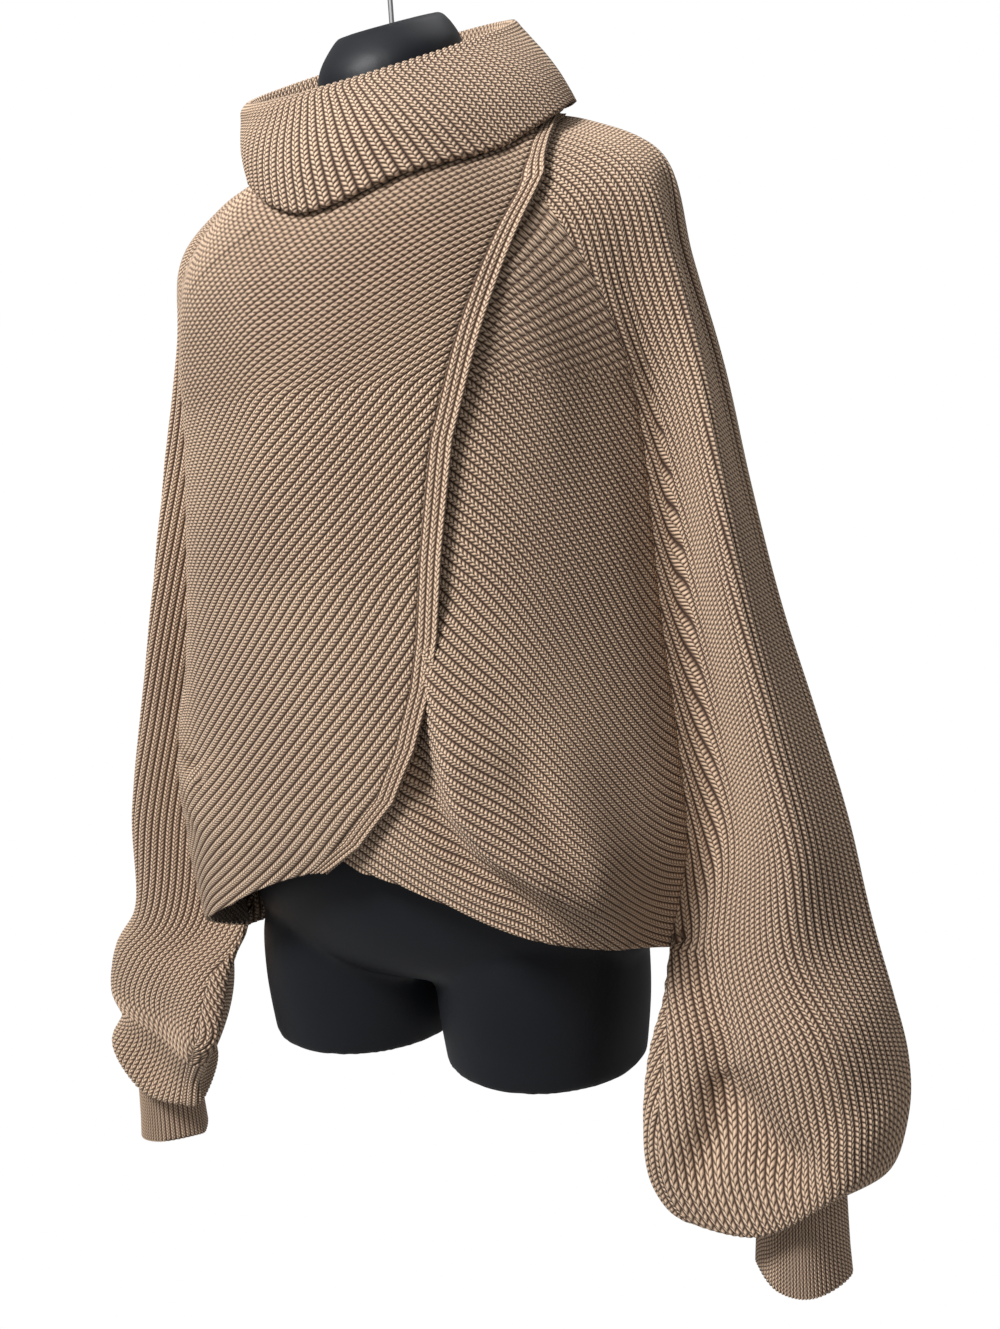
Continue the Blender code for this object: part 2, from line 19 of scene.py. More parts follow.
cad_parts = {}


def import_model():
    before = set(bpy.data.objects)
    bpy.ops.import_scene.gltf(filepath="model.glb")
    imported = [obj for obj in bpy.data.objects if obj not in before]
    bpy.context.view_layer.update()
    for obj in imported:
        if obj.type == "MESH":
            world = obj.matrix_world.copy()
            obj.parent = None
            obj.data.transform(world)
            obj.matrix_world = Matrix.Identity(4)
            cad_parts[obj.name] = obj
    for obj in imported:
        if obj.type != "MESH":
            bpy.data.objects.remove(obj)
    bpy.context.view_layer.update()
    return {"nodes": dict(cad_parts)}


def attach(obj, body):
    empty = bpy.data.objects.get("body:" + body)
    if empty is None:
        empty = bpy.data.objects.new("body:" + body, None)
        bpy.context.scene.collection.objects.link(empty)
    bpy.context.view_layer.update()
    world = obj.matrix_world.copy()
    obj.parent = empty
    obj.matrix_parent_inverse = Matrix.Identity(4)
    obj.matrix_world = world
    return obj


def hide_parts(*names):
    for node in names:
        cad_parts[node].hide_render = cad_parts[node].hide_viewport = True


log = logging.getLogger("wrap_sweater")

# The part's own sizes
HANG_HEIGHT = 0.795
WALL = 0.0035
LAYER = WALL + 0.0022
BAND_WIDTH = 0.013
SEAM_GAP = 0.0003
UNDER_REACH = 0.95

# Ribs and stitches of the chunky knit
RIB_PITCH = 0.0054
LINES_A_RIB = 4
STITCH_PITCH = 0.0030
EDGE_FADE = 0.0025
GATHER_LEVEL = 11.5
BODY_STEPS = 64
SLEEVE_STEPS = 150
FINE_COLUMNS = 900
COLLAR_RELIEF = 0.0010

# The wrap band, with its rolled edge and the turning under the front
BAND_LINES = 35
BAND_STEPS = 300
BAND_PITCH = 0.0043
BAND_STITCH = 0.0033
BAND_RELIEF = 0.0011
BAND_CUT_WIDTH = 0.025
BAND_UNDER = 0.006
SEAM_TUCK = 0.0015
ROLL_WIDTH = 0.0040
ROLL_HEIGHT = 0.0012

# The cuffs: rows are heights from the cuff seam, and how far each flares
CUFF_STITCH = 0.0026
CUFF_RIBS = 58
CUFF_LINES = CUFF_RIBS * LINES_A_RIB + 1
CUFF_STEPS = 26
CUFF_RELIEF = 0.0009
CUFF_DRAW_IN = 1.5
CUFF_ROWS = ((.0050, .0), (-.006, .0), (-.022, .0004), (-.040, .0010), (-.058, .0022))

# How places on the form are measured: reach of its normals and edges, and halvings
TILT_COLUMNS = 0.03
TILT_LEVELS = 0.06
HALVINGS = 26
EDGE_REACH = 0.05
MERGE_WITHIN = 0.00004

# Folds: spots measured along one, and how it fades toward its ends
FOLD_SPOTS = 12
FOLD_TAPER = 4
FOLD_EASE = 0.7


class Side(Enum):
    """A side of the wearer, valued by its sign along X."""

    LEFT = 1
    RIGHT = -1


class Section(NamedTuple):
    """A level of the body and upper sleeve: heights, places and fulls in metres."""

    name: str
    front_h: float
    edge_h: float
    over_h: float
    back_h: float
    front_y: float
    back_y: float
    edge_x: float
    edge_y: float
    over_x: float
    over_y: float
    rear_x: float
    rear_y: float
    fore_full: float
    rear_full: float
    fold: float
    drop: float


SECTIONS = (
    Section("neck seam", .600, .618, .636, .655, -.080, .068,
            .070, -.034, .084, .012, .066, .046, .003, .003, .000, .000),
    Section("shoulder", .562, .592, .621, .628, -.108, .088,
            .108, -.054, .136, .010, .104, .066, .010, .008, .000, .000),
    Section("shoulder tip", .520, .553, .592, .590, -.124, .100,
            .146, -.058, .183, .008, .144, .072, .014, .010, .002, .000),
    Section("armhole top", .478, .500, .535, .530, -.132, .106,
            .168, -.040, .194, .008, .162, .066, .019, .012, .010, .000),
    Section("bust", .425, .440, .465, .465, -.136, .108,
            .177, -.020, .213, .010, .171, .058, .027, .015, .018, .000),
    Section("under bust", .365, .372, .390, .385, -.136, .108,
            .183, -.017, .229, .010, .178, .054, .034, .016, .026, .000),
    Section("waist", .300, .304, .315, .305, -.135, .108,
            .188, -.018, .247, .010, .183, .050, .040, .018, .031, .004),
    Section("high hip", .235, .236, .245, .230, -.134, .108,
            .195, -.020, .268, .010, .190, .046, .043, .020, .034, .008),
    Section("hip", .185, .165, .178, .155, -.130, .108,
            .199, -.024, .288, .008, .193, .026, .046, .024, .036, .018),
    Section("hem", .158, .096, .115, .092, -.124, .104,
            .183, -.026, .303, .006, .183, -.026, .048, .032, .024, .030),
)


class Tube(NamedTuple):
    """A level of the sleeve below the underarm.

    Lobe up is how far the fore lobe's foot is caught up, narrow the share of its width
    that the right sleeve keeps, and inset how much nearer the body that one hangs.
    """

    name: str
    seam_h: float
    over_h: float
    seam_x: float
    seam_y: float
    over_x: float
    over_y: float
    fore_full: float
    rear_full: float
    fold: float
    lobe_up: float
    drop: float
    narrow: float
    inset: float


TUBES = (
    Tube("forearm", .052, .073, .193, -.062, .315, .004, .048, .042, .024, .000, .020, 0.98, .002),
    Tube("balloon", .006, .036, .195, -.084, .324, .002, .044, .047, .026, .000, .014, 1.00, .005),
    Tube("blouson", -.034, .004, .200, -.088, .326, -.006, .046, .046, .022, .012, .012, 0.7, .006),
    Tube("turn", -.055, -.027, .220, -.082, .318, -.018, .043, .046, .010, .020, .012, 0.88, .009),
    Tube("cuff seam", -.034, -.033, .247, -.054, .297, -.042, .025, .025, .0, .0, .016, 1.0, .013),
)

FRONT, BULGE, EDGE, VALLEY, LOBE, OVER, OUTER, REAR_LOBE, INNER, REAR, REAR_BULGE, BACK = range(12)
COLUMN_AT = np.array((0.0, 0.5, 1.0, 1.28, 1.65, 2.0, 2.2, 2.55, 2.85, 3.0, 3.5, 4.0))
HEM_LEVEL = len(SECTIONS) - 1
CUFF_LEVEL = HEM_LEVEL + len(TUBES)

# Heights and places across the body of the wrap edge, from the near shoulder to the hem
WRAP_EDGE = (
    (.640, .116), (.607, .131), (.577, .138), (.552, .131), (.503, .118), (.459, .107),
    (.426, .099), (.357, .091), (.310, .087), (.280, .082), (.243, .070), (.210, .053),
    (.180, .024), (.160, -.008), (.120, -.080))


def smooth(start: float, end: float, value: np.ndarray) -> np.ndarray:
    """Ease from 0 at start to 1 at end."""
    share = np.clip((value - start) / (end - start), 0.0, 1.0)
    return share * share * (3 - 2 * share)


def hermite(a: np.ndarray, b: np.ndarray, slope_a: np.ndarray, slope_b: np.ndarray,
            share: np.ndarray) -> np.ndarray:
    """Cubic from a to b with the given slopes over a unit run.

    Args:
        a: Start.
        b: End.
        slope_a: Slope at the start.
        slope_b: Slope at the end.
        share: Share of the way, from 0 to 1.

    Returns:
        The places at those shares.
    """
    s2, s3 = share * share, share ** 3
    return ((2 * s3 - 3 * s2 + 1) * a + (s3 - 2 * s2 + share) * slope_a
            + (3 * s2 - 2 * s3) * b + (s3 - s2) * slope_b)


def unit(rows: np.ndarray) -> np.ndarray:
    """Rows of vectors scaled to length one."""
    return rows / (np.linalg.norm(rows, axis=-1, keepdims=True) + 1e-12)


def run_along(points: np.ndarray) -> np.ndarray:
    """Distance from the first of a row of points to each of them."""
    steps = np.linalg.norm(np.diff(points, axis=0), axis=-1)
    return np.concatenate((np.zeros((1, *steps.shape[1:])), steps.cumsum(axis=0)))


def stand(name: str, made: bmesh.types.BMesh) -> bpy.types.Object:
    """Puts a finished bmesh into the scene as a piece of that name.

    Args:
        name: The piece's name.
        made: The bmesh, which is freed.

    Returns:
        The piece.
    """
    mesh = bpy.data.meshes.new(name)
    made.to_mesh(mesh)
    made.free()
    piece = bpy.data.objects.new(name, mesh)
    bpy.context.scene.collection.objects.link(piece)
    return piece


def along(start: tuple, end: tuple, share: float, push: float) -> np.ndarray:
    """Point at a share of the way from start to end, pushed to the way's right.

    Args:
        start: First point.
        end: Last point.
        share: Share of the way.
        push: Distance to the right, in metres.

    Returns:
        The point.
    """
    start, end = np.array(start), np.array(end)
    way = end - start
    side = np.array((way[1], -way[0], 0.0)) / math.hypot(way[0], way[1])
    return start + way * share + side * push


class Fold(NamedTuple):
    """A crease or ridge of the cloth.

    Places are its (column, level) pairs, width how far it reaches, height how far it
    stands out, and step how much wider it is on its upper and outer side.
    """

    name: str
    places: tuple
    width: float
    height: float
    step: float = 0.0


class GarmentForm:
    """The garment's outer face, as columns round the body and levels down it."""

    def __init__(self) -> None:
        """Works out the named points of both sides."""
        self.nets = {side: self._net(side) for side in Side}

    @staticmethod
    def _body_columns(row: Section, level: int) -> list:
        """The twelve named points of a body section, on the wearer's left.

        Args:
            row: The section.
            level: Its number, from the neck seam down.

        Returns:
            Points from the front centre to the back centre.
        """
        down = (level / HEM_LEVEL) ** 2
        edge = (row.edge_x, row.edge_y, row.edge_h)
        over = (row.over_x, row.over_y, row.over_h)
        high = (row.over_h + row.back_h) / 2
        rear = (row.rear_x, row.rear_y, high + (row.edge_h - high) * down)
        bulge_h = row.front_h + (row.edge_h - row.front_h) * .60
        rear_h = row.back_h + (rear[2] - row.back_h) * .45
        return [
            (0.0, row.front_y, row.front_h),
            (row.edge_x * (.60 + .14 * down),
             row.front_y + (row.edge_y - row.front_y) * (.30 - .14 * down), bulge_h),
            edge,
            along(edge, over, .26, row.fore_full * .75 - row.fold),
            along(edge, over, .64, row.fore_full),
            over,
            along(over, rear, .10, row.rear_full * .60),
            along(over, rear, .50, row.rear_full),
            along(over, rear, .90 - .07 * down, row.rear_full * (.30 + .20 * down)),
            rear,
            (row.rear_x * .72, row.back_y + (row.rear_y - row.back_y) * .20, rear_h),
            (0.0, row.back_y, row.back_h),
        ]

    @staticmethod
    def _tube_columns(row: Tube) -> list:
        """The named points of a sleeve section below the underarm, seam to seam.

        Args:
            row: The section.

        Returns:
            Points round the sleeve, from its inner seam back to it.
        """
        seam = (row.seam_x, row.seam_y, row.seam_h)
        over = (row.over_x, row.over_y, row.over_h)
        return [
            seam,
            along(seam, over, .26, row.fore_full * .90 - row.fold),
            along(seam, over, .64, row.fore_full) + np.array((0, 0, row.lobe_up)),
            over,
            along(over, seam, .08, row.rear_full * .62),
            along(over, seam, .50, row.rear_full),
            along(over, seam, 1.01, row.rear_full * .36),
            seam,
        ]

    def _net(self, side: Side) -> np.ndarray:
        """Every named point of one half, level by level.

        Args:
            side: The half.

        Returns:
            Points by level and column.
        """
        net = []
        for level, row in enumerate(SECTIONS):
            points = np.array(self._body_columns(row, level), dtype=float)
            if side is Side.RIGHT:
                points[:, 2] -= row.drop * np.array([0, .5, 1, 1, 1, 1, 1, 1, 1, 1, .5, 0])
            net.append(points)
        for row in TUBES:
            points = np.array(net[-1])
            points[EDGE:REAR + 1] = self._tube_columns(row)
            if side is Side.RIGHT:
                middle = np.array(((row.seam_x + row.over_x) / 2, (row.seam_y + row.over_y) / 2))
                ring = points[EDGE:REAR + 1]
                ring[:, :2] = middle + (ring[:, :2] - middle) * row.narrow
                ring[:, 0] -= row.inset
                ring[:, 2] -= row.drop
            for column in (FRONT, BULGE, REAR_BULGE, BACK):
                points[column] = 2 * net[-1][column] - net[-2][column]
            net.append(points)
        net = np.array(net)
        net[:, :, 0] *= side.value
        net[:, :, 2] -= HANG_HEIGHT
        return net

    def _columns(self, side: Side, level: np.ndarray) -> np.ndarray:
        """The named points at any levels, on smooth curves down the columns.

        Args:
            side: The half.
            level: One level for each wanted row.

        Returns:
            Points by row and column.
        """
        net = self.nets[side]
        last = len(net) - 1
        row = np.clip(level.astype(int), 0, last - 1)
        before, after = net[np.maximum(row - 1, 0)].copy(), net[np.minimum(row + 2, last)]
        at_hem = row == HEM_LEVEL
        mean = (before[at_hem, EDGE] + before[at_hem, REAR]) / 2
        before[at_hem, EDGE] = mean
        before[at_hem, REAR] = mean
        start, end = net[row], net[row + 1]
        share = (level - row)[:, None, None]
        return hermite(start, end, (end - before) / 2, (after - start) / 2, share)

    def point(self, side: Side, u: np.ndarray, level: np.ndarray, tube: bool) -> np.ndarray:
        """Points of the outer face.

        Args:
            side: The half that they are on.
            u: Columns, 0 at the front centre, 2 at the over-arm seam and 4 behind;
                less than 0 is past the centre, on the other half.
            level: Levels, 0 at the neck seam and CUFF_LEVEL at the cuff seam.
            tube: Whether they are on the sleeve, which closes round below the hem.

        Returns:
            One row of three for each place.
        """
        u, level = np.broadcast_arrays(np.asarray(u, float), np.asarray(level, float))
        shape = u.shape
        u, level = u.ravel().copy(), level.ravel()
        out = np.empty((len(u), 3))
        past = u < 0
        past_back = u > 4
        other = Side.RIGHT if side is Side.LEFT else Side.LEFT
        for chosen, half, place in ((past, other, -u), (past_back, other, 8 - u),
                                    (~(past | past_back), side, u)):
            if chosen.any():
                out[chosen] = self._half_point(half, place[chosen], level[chosen], tube)
        return out.reshape(*shape, 3)

    def _half_point(self, side: Side, u: np.ndarray, level: np.ndarray, tube: bool) -> np.ndarray:
        """Points on one half, where u runs from 0 to 4.

        Args:
            side: The half.
            u: Columns.
            level: Levels, one for each column.
            tube: Whether they are on the sleeve.

        Returns:
            One row of three for each place.
        """
        columns = self._columns(side, level)
        closed = (level >= HEM_LEVEL) & tube
        u = np.where(closed & (u < 1), u + 2, np.where(closed & (u > 3), u - 2, u))
        at = np.clip(np.searchsorted(COLUMN_AT, u + 1e-9, side="right") - 1, 0, 10)
        flip = np.array((-1.0, 1.0, 1.0))
        rows = np.arange(len(u))

        def neighbour(index: np.ndarray) -> tuple:
            """The named point and its column, turned round at the centre or the seam.

            Args:
                index: Which named point, for each row.

            Returns:
                The points and their columns.
            """
            spot = columns[rows, np.clip(index, 0, 11)].copy()
            place = COLUMN_AT[np.clip(index, 0, 11)].copy()
            wrap_low, wrap_high = closed & (index < EDGE), closed & (index > REAR)
            spot[wrap_low], place[wrap_low] = columns[wrap_low, INNER], COLUMN_AT[INNER] - 2
            spot[wrap_high], place[wrap_high] = columns[wrap_high, VALLEY], COLUMN_AT[VALLEY] + 2
            low, high = index < 0, index > BACK
            spot[low], place[low] = columns[low, BULGE] * flip, -COLUMN_AT[BULGE]
            spot[high], place[high] = columns[high, REAR_BULGE] * flip, 8 - COLUMN_AT[REAR_BULGE]
            return spot, place[:, None]

        (p0, t0), (p1, t1), (p2, t2), (p3, t3) = (neighbour(at + k) for k in (-1, 0, 1, 2))
        run = t2 - t1
        slope_a = (p2 - p0) / (t2 - t0) * run
        slope_b = (p3 - p1) / (t3 - t1) * run
        return hermite(p1, p2, slope_a, slope_b, (u[:, None] - t1) / run)

    def normal(self, side: Side, u: np.ndarray, level: np.ndarray, tube: bool) -> np.ndarray:
        """Unit normals that point out of the garment, at places as for point.

        Args:
            side: The half.
            u: Columns.
            level: Levels.
            tube: Whether they are on the sleeve.

        Returns:
            One row of three for each place.
        """
        u, level = np.broadcast_arrays(np.asarray(u, float), np.asarray(level, float))
        low_u, high_u = u - TILT_COLUMNS, u + TILT_COLUMNS
        bottom = CUFF_LEVEL if tube else HEM_LEVEL
        up = np.maximum(level - TILT_LEVELS, 0)
        down = np.minimum(level + TILT_LEVELS, bottom)
        across = self.point(side, high_u, level, tube) - self.point(side, low_u, level, tube)
        fall = self.point(side, u, down, tube) - self.point(side, u, up, tube)
        return -side.value * unit(np.cross(across, fall))

    def across(self, side: Side, u_from: float, u_to: float, level: np.ndarray,
               tube: bool, count: int = 60) -> tuple:
        """Distances along each level from one column to another.

        Args:
            side: The half.
            u_from: First column.
            u_to: Last column.
            level: Levels.
            tube: Whether they are on the sleeve.
            count: How many columns are measured.

        Returns:
            The columns, and the distance at each level and column, in metres.
        """
        columns = np.linspace(u_from, u_to, count)
        points = self.point(side, columns[None, :], np.asarray(level)[:, None], tube)
        return columns, run_along(points.swapaxes(0, 1)).T

    def wrap_column(self, level: np.ndarray) -> np.ndarray:
        """The column on the wearer's left where the wrap edge crosses each level.

        Args:
            level: Levels on the body.

        Returns:
            One column for each level.
        """
        heights = [h for h, _ in WRAP_EDGE][::-1]
        places = [x for _, x in WRAP_EDGE][::-1]
        level = np.asarray(level, float)
        low, high = np.full(level.shape, -0.9), np.full(level.shape, 1.9)
        for _ in range(HALVINGS):
            middle = (low + high) / 2
            point = self.point(Side.LEFT, middle, level, False)
            before = point[..., 0] < np.interp(point[..., 2] + HANG_HEIGHT, heights, places)
            low, high = np.where(before, middle, low), np.where(before, high, middle)
        return (low + high) / 2

    def beside_wrap(self, level: np.ndarray, distance: float) -> np.ndarray:
        """The column that lies a distance inside the wrap edge along a level.

        Args:
            level: Levels on the body.
            distance: Metres inside the edge.

        Returns:
            One column for each level.
        """
        edge = self.wrap_column(level)
        stretch = np.linalg.norm(self.point(Side.LEFT, edge, level, False)
                                 - self.point(Side.LEFT, edge - EDGE_REACH, level, False), axis=-1)
        return edge - distance * EDGE_REACH / stretch

    def over_lift(self, u: np.ndarray, level: np.ndarray) -> np.ndarray:
        """How far the over front stands out, at columns counted from the wearer's right.

        Args:
            u: Columns.
            level: Levels.

        Returns:
            One distance in metres for each place.
        """
        wrap = self.wrap_column(np.minimum(level, HEM_LEVEL))
        full_from = np.maximum(-wrap, -UNDER_REACH) - 0.05
        gone_at = -2.0 + smooth(0, HEM_LEVEL, level)
        fade = 1 - smooth(0.0, 1.0, (full_from + u) / (full_from - gone_at))
        return np.where(level >= HEM_LEVEL, 0.0, LAYER * np.where(-u >= full_from, 1.0, fade))


class Strand(NamedTuple):
    """One line along a rib, place by place.

    Rib is the rib number, u and level the place on the garment, and inside how far it
    is from the edge that ends the ribs, in metres.
    """

    rib: np.ndarray
    u: np.ndarray
    level: np.ndarray
    inside: np.ndarray


@dataclass(frozen=True)
class RibRelief:
    """The rounded ridge of one rib, by the share of the way across it."""

    height: float = 0.0014
    groove: float = 0.55

    def at(self, rib: np.ndarray) -> np.ndarray:
        """Height over the groove, in metres, at rib numbers whose whole values are grooves."""
        return self.height * np.abs(np.sin(math.pi * rib)) ** self.groove


Value = bpy.types.NodeSocket | float
Colour = bpy.types.NodeSocket | tuple


class Pattern:
    """The nodes of one material, added a step at a time."""

    def __init__(self, name: str) -> None:
        """Starts a material.

        Args:
            name: The material's name.
        """
        self.material = bpy.data.materials.new(name)
        self.material.use_nodes = True
        self.nodes = self.material.node_tree.nodes
        self.links = self.material.node_tree.links
        self.shader = self.nodes["Principled BSDF"]

    def place(self, kind: str) -> bpy.types.NodeSocket:
        """Where a point of the piece lies, on its own map or in its object."""
        return self.nodes.new("ShaderNodeTexCoord").outputs[kind]

    def link(self, value: Value | Colour, socket: bpy.types.NodeSocket) -> None:
        """Feeds a socket.

        Args:
            value: Another socket, a number or a colour.
            socket: The socket that it feeds.
        """
        if isinstance(value, bpy.types.NodeSocket):
            self.links.new(value, socket)
        else:
            socket.default_value = (*value, 1.0) if isinstance(value, tuple) else value

    def maths(self, operation: str, a: Value, b: Value = 0.0) -> bpy.types.NodeSocket:
        """One step of arithmetic.

        Args:
            operation: Its name in the node.
            a: First value.
            b: Second value, where it takes two.

        Returns:
            The result.
        """
        node = self.nodes.new("ShaderNodeMath")
        node.operation = operation
        for value, socket in zip((a, b), node.inputs):
            self.link(value, socket)
        return node.outputs[0]

    def ease(self, value: Value, low: float, high: float) -> bpy.types.NodeSocket:
        """Smooth step from 0 to 1.

        Args:
            value: The value.
            low: Where the step starts.
            high: Where it ends.

        Returns:
            The result.
        """
        node = self.nodes.new("ShaderNodeMapRange")
        node.interpolation_type = "SMOOTHSTEP"
        self.link(value, node.inputs["Value"])
        node.inputs["From Min"].default_value = low
        node.inputs["From Max"].default_value = high
        return node.outputs["Result"]

    def span(self, value: Value, first: float, last: float) -> bpy.types.NodeSocket:
        """Straight line over a value that runs from 0 to 1.

        Args:
            value: The value.
            first: The result at 0.
            last: The result at 1.

        Returns:
            The result.
        """
        node = self.nodes.new("ShaderNodeMapRange")
        self.link(value, node.inputs["Value"])
        node.inputs["To Min"].default_value = first
        node.inputs["To Max"].default_value = last
        return node.outputs["Result"]

    def noise(self, vector: bpy.types.NodeSocket, scale: float,
              detail: float = 2.0) -> bpy.types.NodeSocket:
        """Soft random values.

        Args:
            vector: The place.
            scale: How many spots there are to a unit.
            detail: How many finer layers are added.

        Returns:
            The values.
        """
        node = self.nodes.new("ShaderNodeTexNoise")
        node.inputs["Scale"].default_value = scale
        node.inputs["Detail"].default_value = detail
        self.links.new(vector, node.inputs["Vector"])
        return node.outputs["Fac"]

    def blend(self, factor: Value, first: Colour, second: Colour) -> bpy.types.NodeSocket:
        """Colour between two colours.

        Args:
            factor: Share of the second one.
            first: First colour.
            second: Second colour.

        Returns:
            The colour.
        """
        node = self.nodes.new("ShaderNodeMix")
        node.data_type = "RGBA"
        self.link(factor, node.inputs["Factor"])
        self.link(first, node.inputs[6])
        self.link(second, node.inputs[7])
        return node.outputs[2]

    def raise_up(self, height: bpy.types.NodeSocket, strength: float, distance: float) -> None:
        """Bumps the shader's surface.

        Args:
            height: How high each place is, from 0 to 1.
            strength: Share of the bump that shows.
            distance: Metres that 1 stands for.
        """
        bump = self.nodes.new("ShaderNodeBump")
        bump.inputs["Strength"].default_value = strength
        bump.inputs["Distance"].default_value = distance
        self.links.new(height, bump.inputs["Height"])
        self.links.new(bump.outputs["Normal"], self.shader.inputs["Normal"])


@dataclass(frozen=True)
class KnitFinish:
    """Ribbed knit in matt cotton yarn, patterned on the piece's own map."""

    name: str
    # The crest colour is a painted highlight on the raised tops of the loops.
    crest_highlight: tuple
    light: tuple
    shade: tuple
    # The groove colour is painted shade, laid in the grooves between ribs and between the loops.
    groove: tuple
    stitch_depth: float

    def build(self) -> bpy.types.Material:
        """Makes the material: stitches, mottled yarn, a soft sheen, painted shade in the grooves
        and between the loops, and a painted highlight on the loops' tops.

        Returns:
            The material.
        """
        made = Pattern(self.name)
        maths, ease, noise, shader = made.maths, made.ease, made.noise, made.shader
        shader.inputs["Roughness"].default_value = 0.82
        shader.inputs["Sheen Weight"].default_value = 0.25
        shader.inputs["Sheen Roughness"].default_value = 0.4
        shader.inputs["Sheen Tint"].default_value = (0.9, 0.8, 0.68, 1.0)
        shader.inputs["Specular IOR Level"].default_value = 0.25
        map_place, body_place = made.place("UV"), made.place("Object")
        split = made.nodes.new("ShaderNodeSeparateXYZ")
        made.links.new(map_place, split.inputs[0])
        drift = maths("MULTIPLY", maths("SUBTRACT", noise(map_place, 0.35), 0.5), 0.5)
        rib = split.outputs["X"]
        row = maths("ADD", split.outputs["Y"], drift)
        offset = maths("SUBTRACT", maths("FRACT", rib), 0.5)
        side = maths("ABSOLUTE", maths("MULTIPLY", offset, 2.0))
        half_step = maths("MULTIPLY", maths("FLOOR", maths("MULTIPLY", rib, 2.0)), 0.5)
        lean = maths("MULTIPLY", side, 0.62)
        phase = maths("FRACT", maths("ADD", maths("ADD", row, lean), half_step))
        strand = maths("ABSOLUTE", maths("SINE", maths("MULTIPLY", phase, math.pi)))
        plump = maths("POWER", strand, 0.7)
        round_off = maths("SUBTRACT", 1.0, maths("POWER", side, 3.0))
        middle = ease(side, 0.0, 0.22)
        loops = maths("MULTIPLY", maths("MULTIPLY", plump, round_off),
                      maths("ADD", maths("MULTIPLY", middle, 0.45), 0.55))
        fuzz = maths("MULTIPLY", noise(body_place, 2600.0), 0.18)
        made.raise_up(maths("ADD", loops, fuzz), 1.0, self.stitch_depth)
        clouds = ease(noise(body_place, 9.0), 0.35, 0.65)
        mottled = made.blend(clouds, self.shade, self.light)
        # Painted highlight: the raised tops of the loops are lightened toward the crest colour.
        raised = made.blend(ease(loops, 0.55, 0.95), mottled, self.crest_highlight)
        # Painted shade: the colour goes toward the groove colour at the sides of each rib and in
        # the hollows between loops.
        groove_shade = maths("MULTIPLY", ease(side, 0.58, 0.96), 0.97)
        pit_shade = maths("SUBTRACT", 1.0, ease(loops, 0.14, 0.74))
        painted_shade = maths("MAXIMUM", groove_shade, maths("MULTIPLY", pit_shade, 0.90))
        made.link(made.blend(painted_shade, raised, self.groove), shader.inputs["Base Color"])
        return made.material


@dataclass(frozen=True)
class FormFinish:
    """Smooth black plastic with a faint grain and a soft blue-grey sheen."""

    colour: tuple = (0.004, 0.005, 0.007)
    worn: tuple = (0.009, 0.010, 0.014)

    def build(self) -> bpy.types.Material:
        """Makes the material.

        Returns:
            The material, with its nodes.
        """
        made = Pattern("form_plastic")
        shader = made.shader
        shader.inputs["Specular IOR Level"].default_value = 0.22
        place = made.place("Object")
        clouds = made.noise(place, 14.0, 4.0)
        made.link(made.blend(clouds, self.colour, self.worn), shader.inputs["Base Color"])
        made.link(made.span(clouds, 0.42, 0.58), shader.inputs["Roughness"])
        made.raise_up(made.noise(place, 900.0), 0.25, 0.0003)
        return made.material


@dataclass(frozen=True)
class WireFinish:
    """Plain drawn steel wire with fine lengthwise scratches."""

    colour: tuple = (0.35, 0.35, 0.36)

    def build(self) -> bpy.types.Material:
        """Makes the material.

        Returns:
            The material, with its nodes.
        """
        made = Pattern("hook_steel")
        made.shader.inputs["Base Color"].default_value = (*self.colour, 1.0)
        made.shader.inputs["Metallic"].default_value = 1.0
        stretch = made.nodes.new("ShaderNodeMapping")
        stretch.inputs["Scale"].default_value = (900.0, 900.0, 40.0)
        made.link(made.place("Object"), stretch.inputs["Vector"])
        scratches = made.noise(stretch.outputs["Vector"], 5.0)
        made.link(made.span(scratches, 0.25, 0.45), made.shader.inputs["Roughness"])
        return made.material


# In both knits the crest colour is a painted highlight on the loops' tops and the groove colour is
# painted shade in the grooves and between the loops.
CHUNKY = KnitFinish("chunky_rib", (.760, .560, .400), (.560, .390, .265), (.450, .305, .210),
                    (.050, .024, .016), .0012)
FINE = KnitFinish("fine_rib", (.760, .560, .400), (.560, .390, .265), (.450, .305, .210),
                  (.060, .030, .020), .0007)

# How steeply the ribs fall outward, at heights above the form's rims
RIB_HEIGHTS = (.09, .13, .20, .34, .46, .56, .64)
RIB_SLOPES = {
    Side.LEFT: (.36, .42, .62, .90, .88, .62, .48),
    Side.RIGHT: (.60, .66, .80, .92, .88, .62, .48),
}

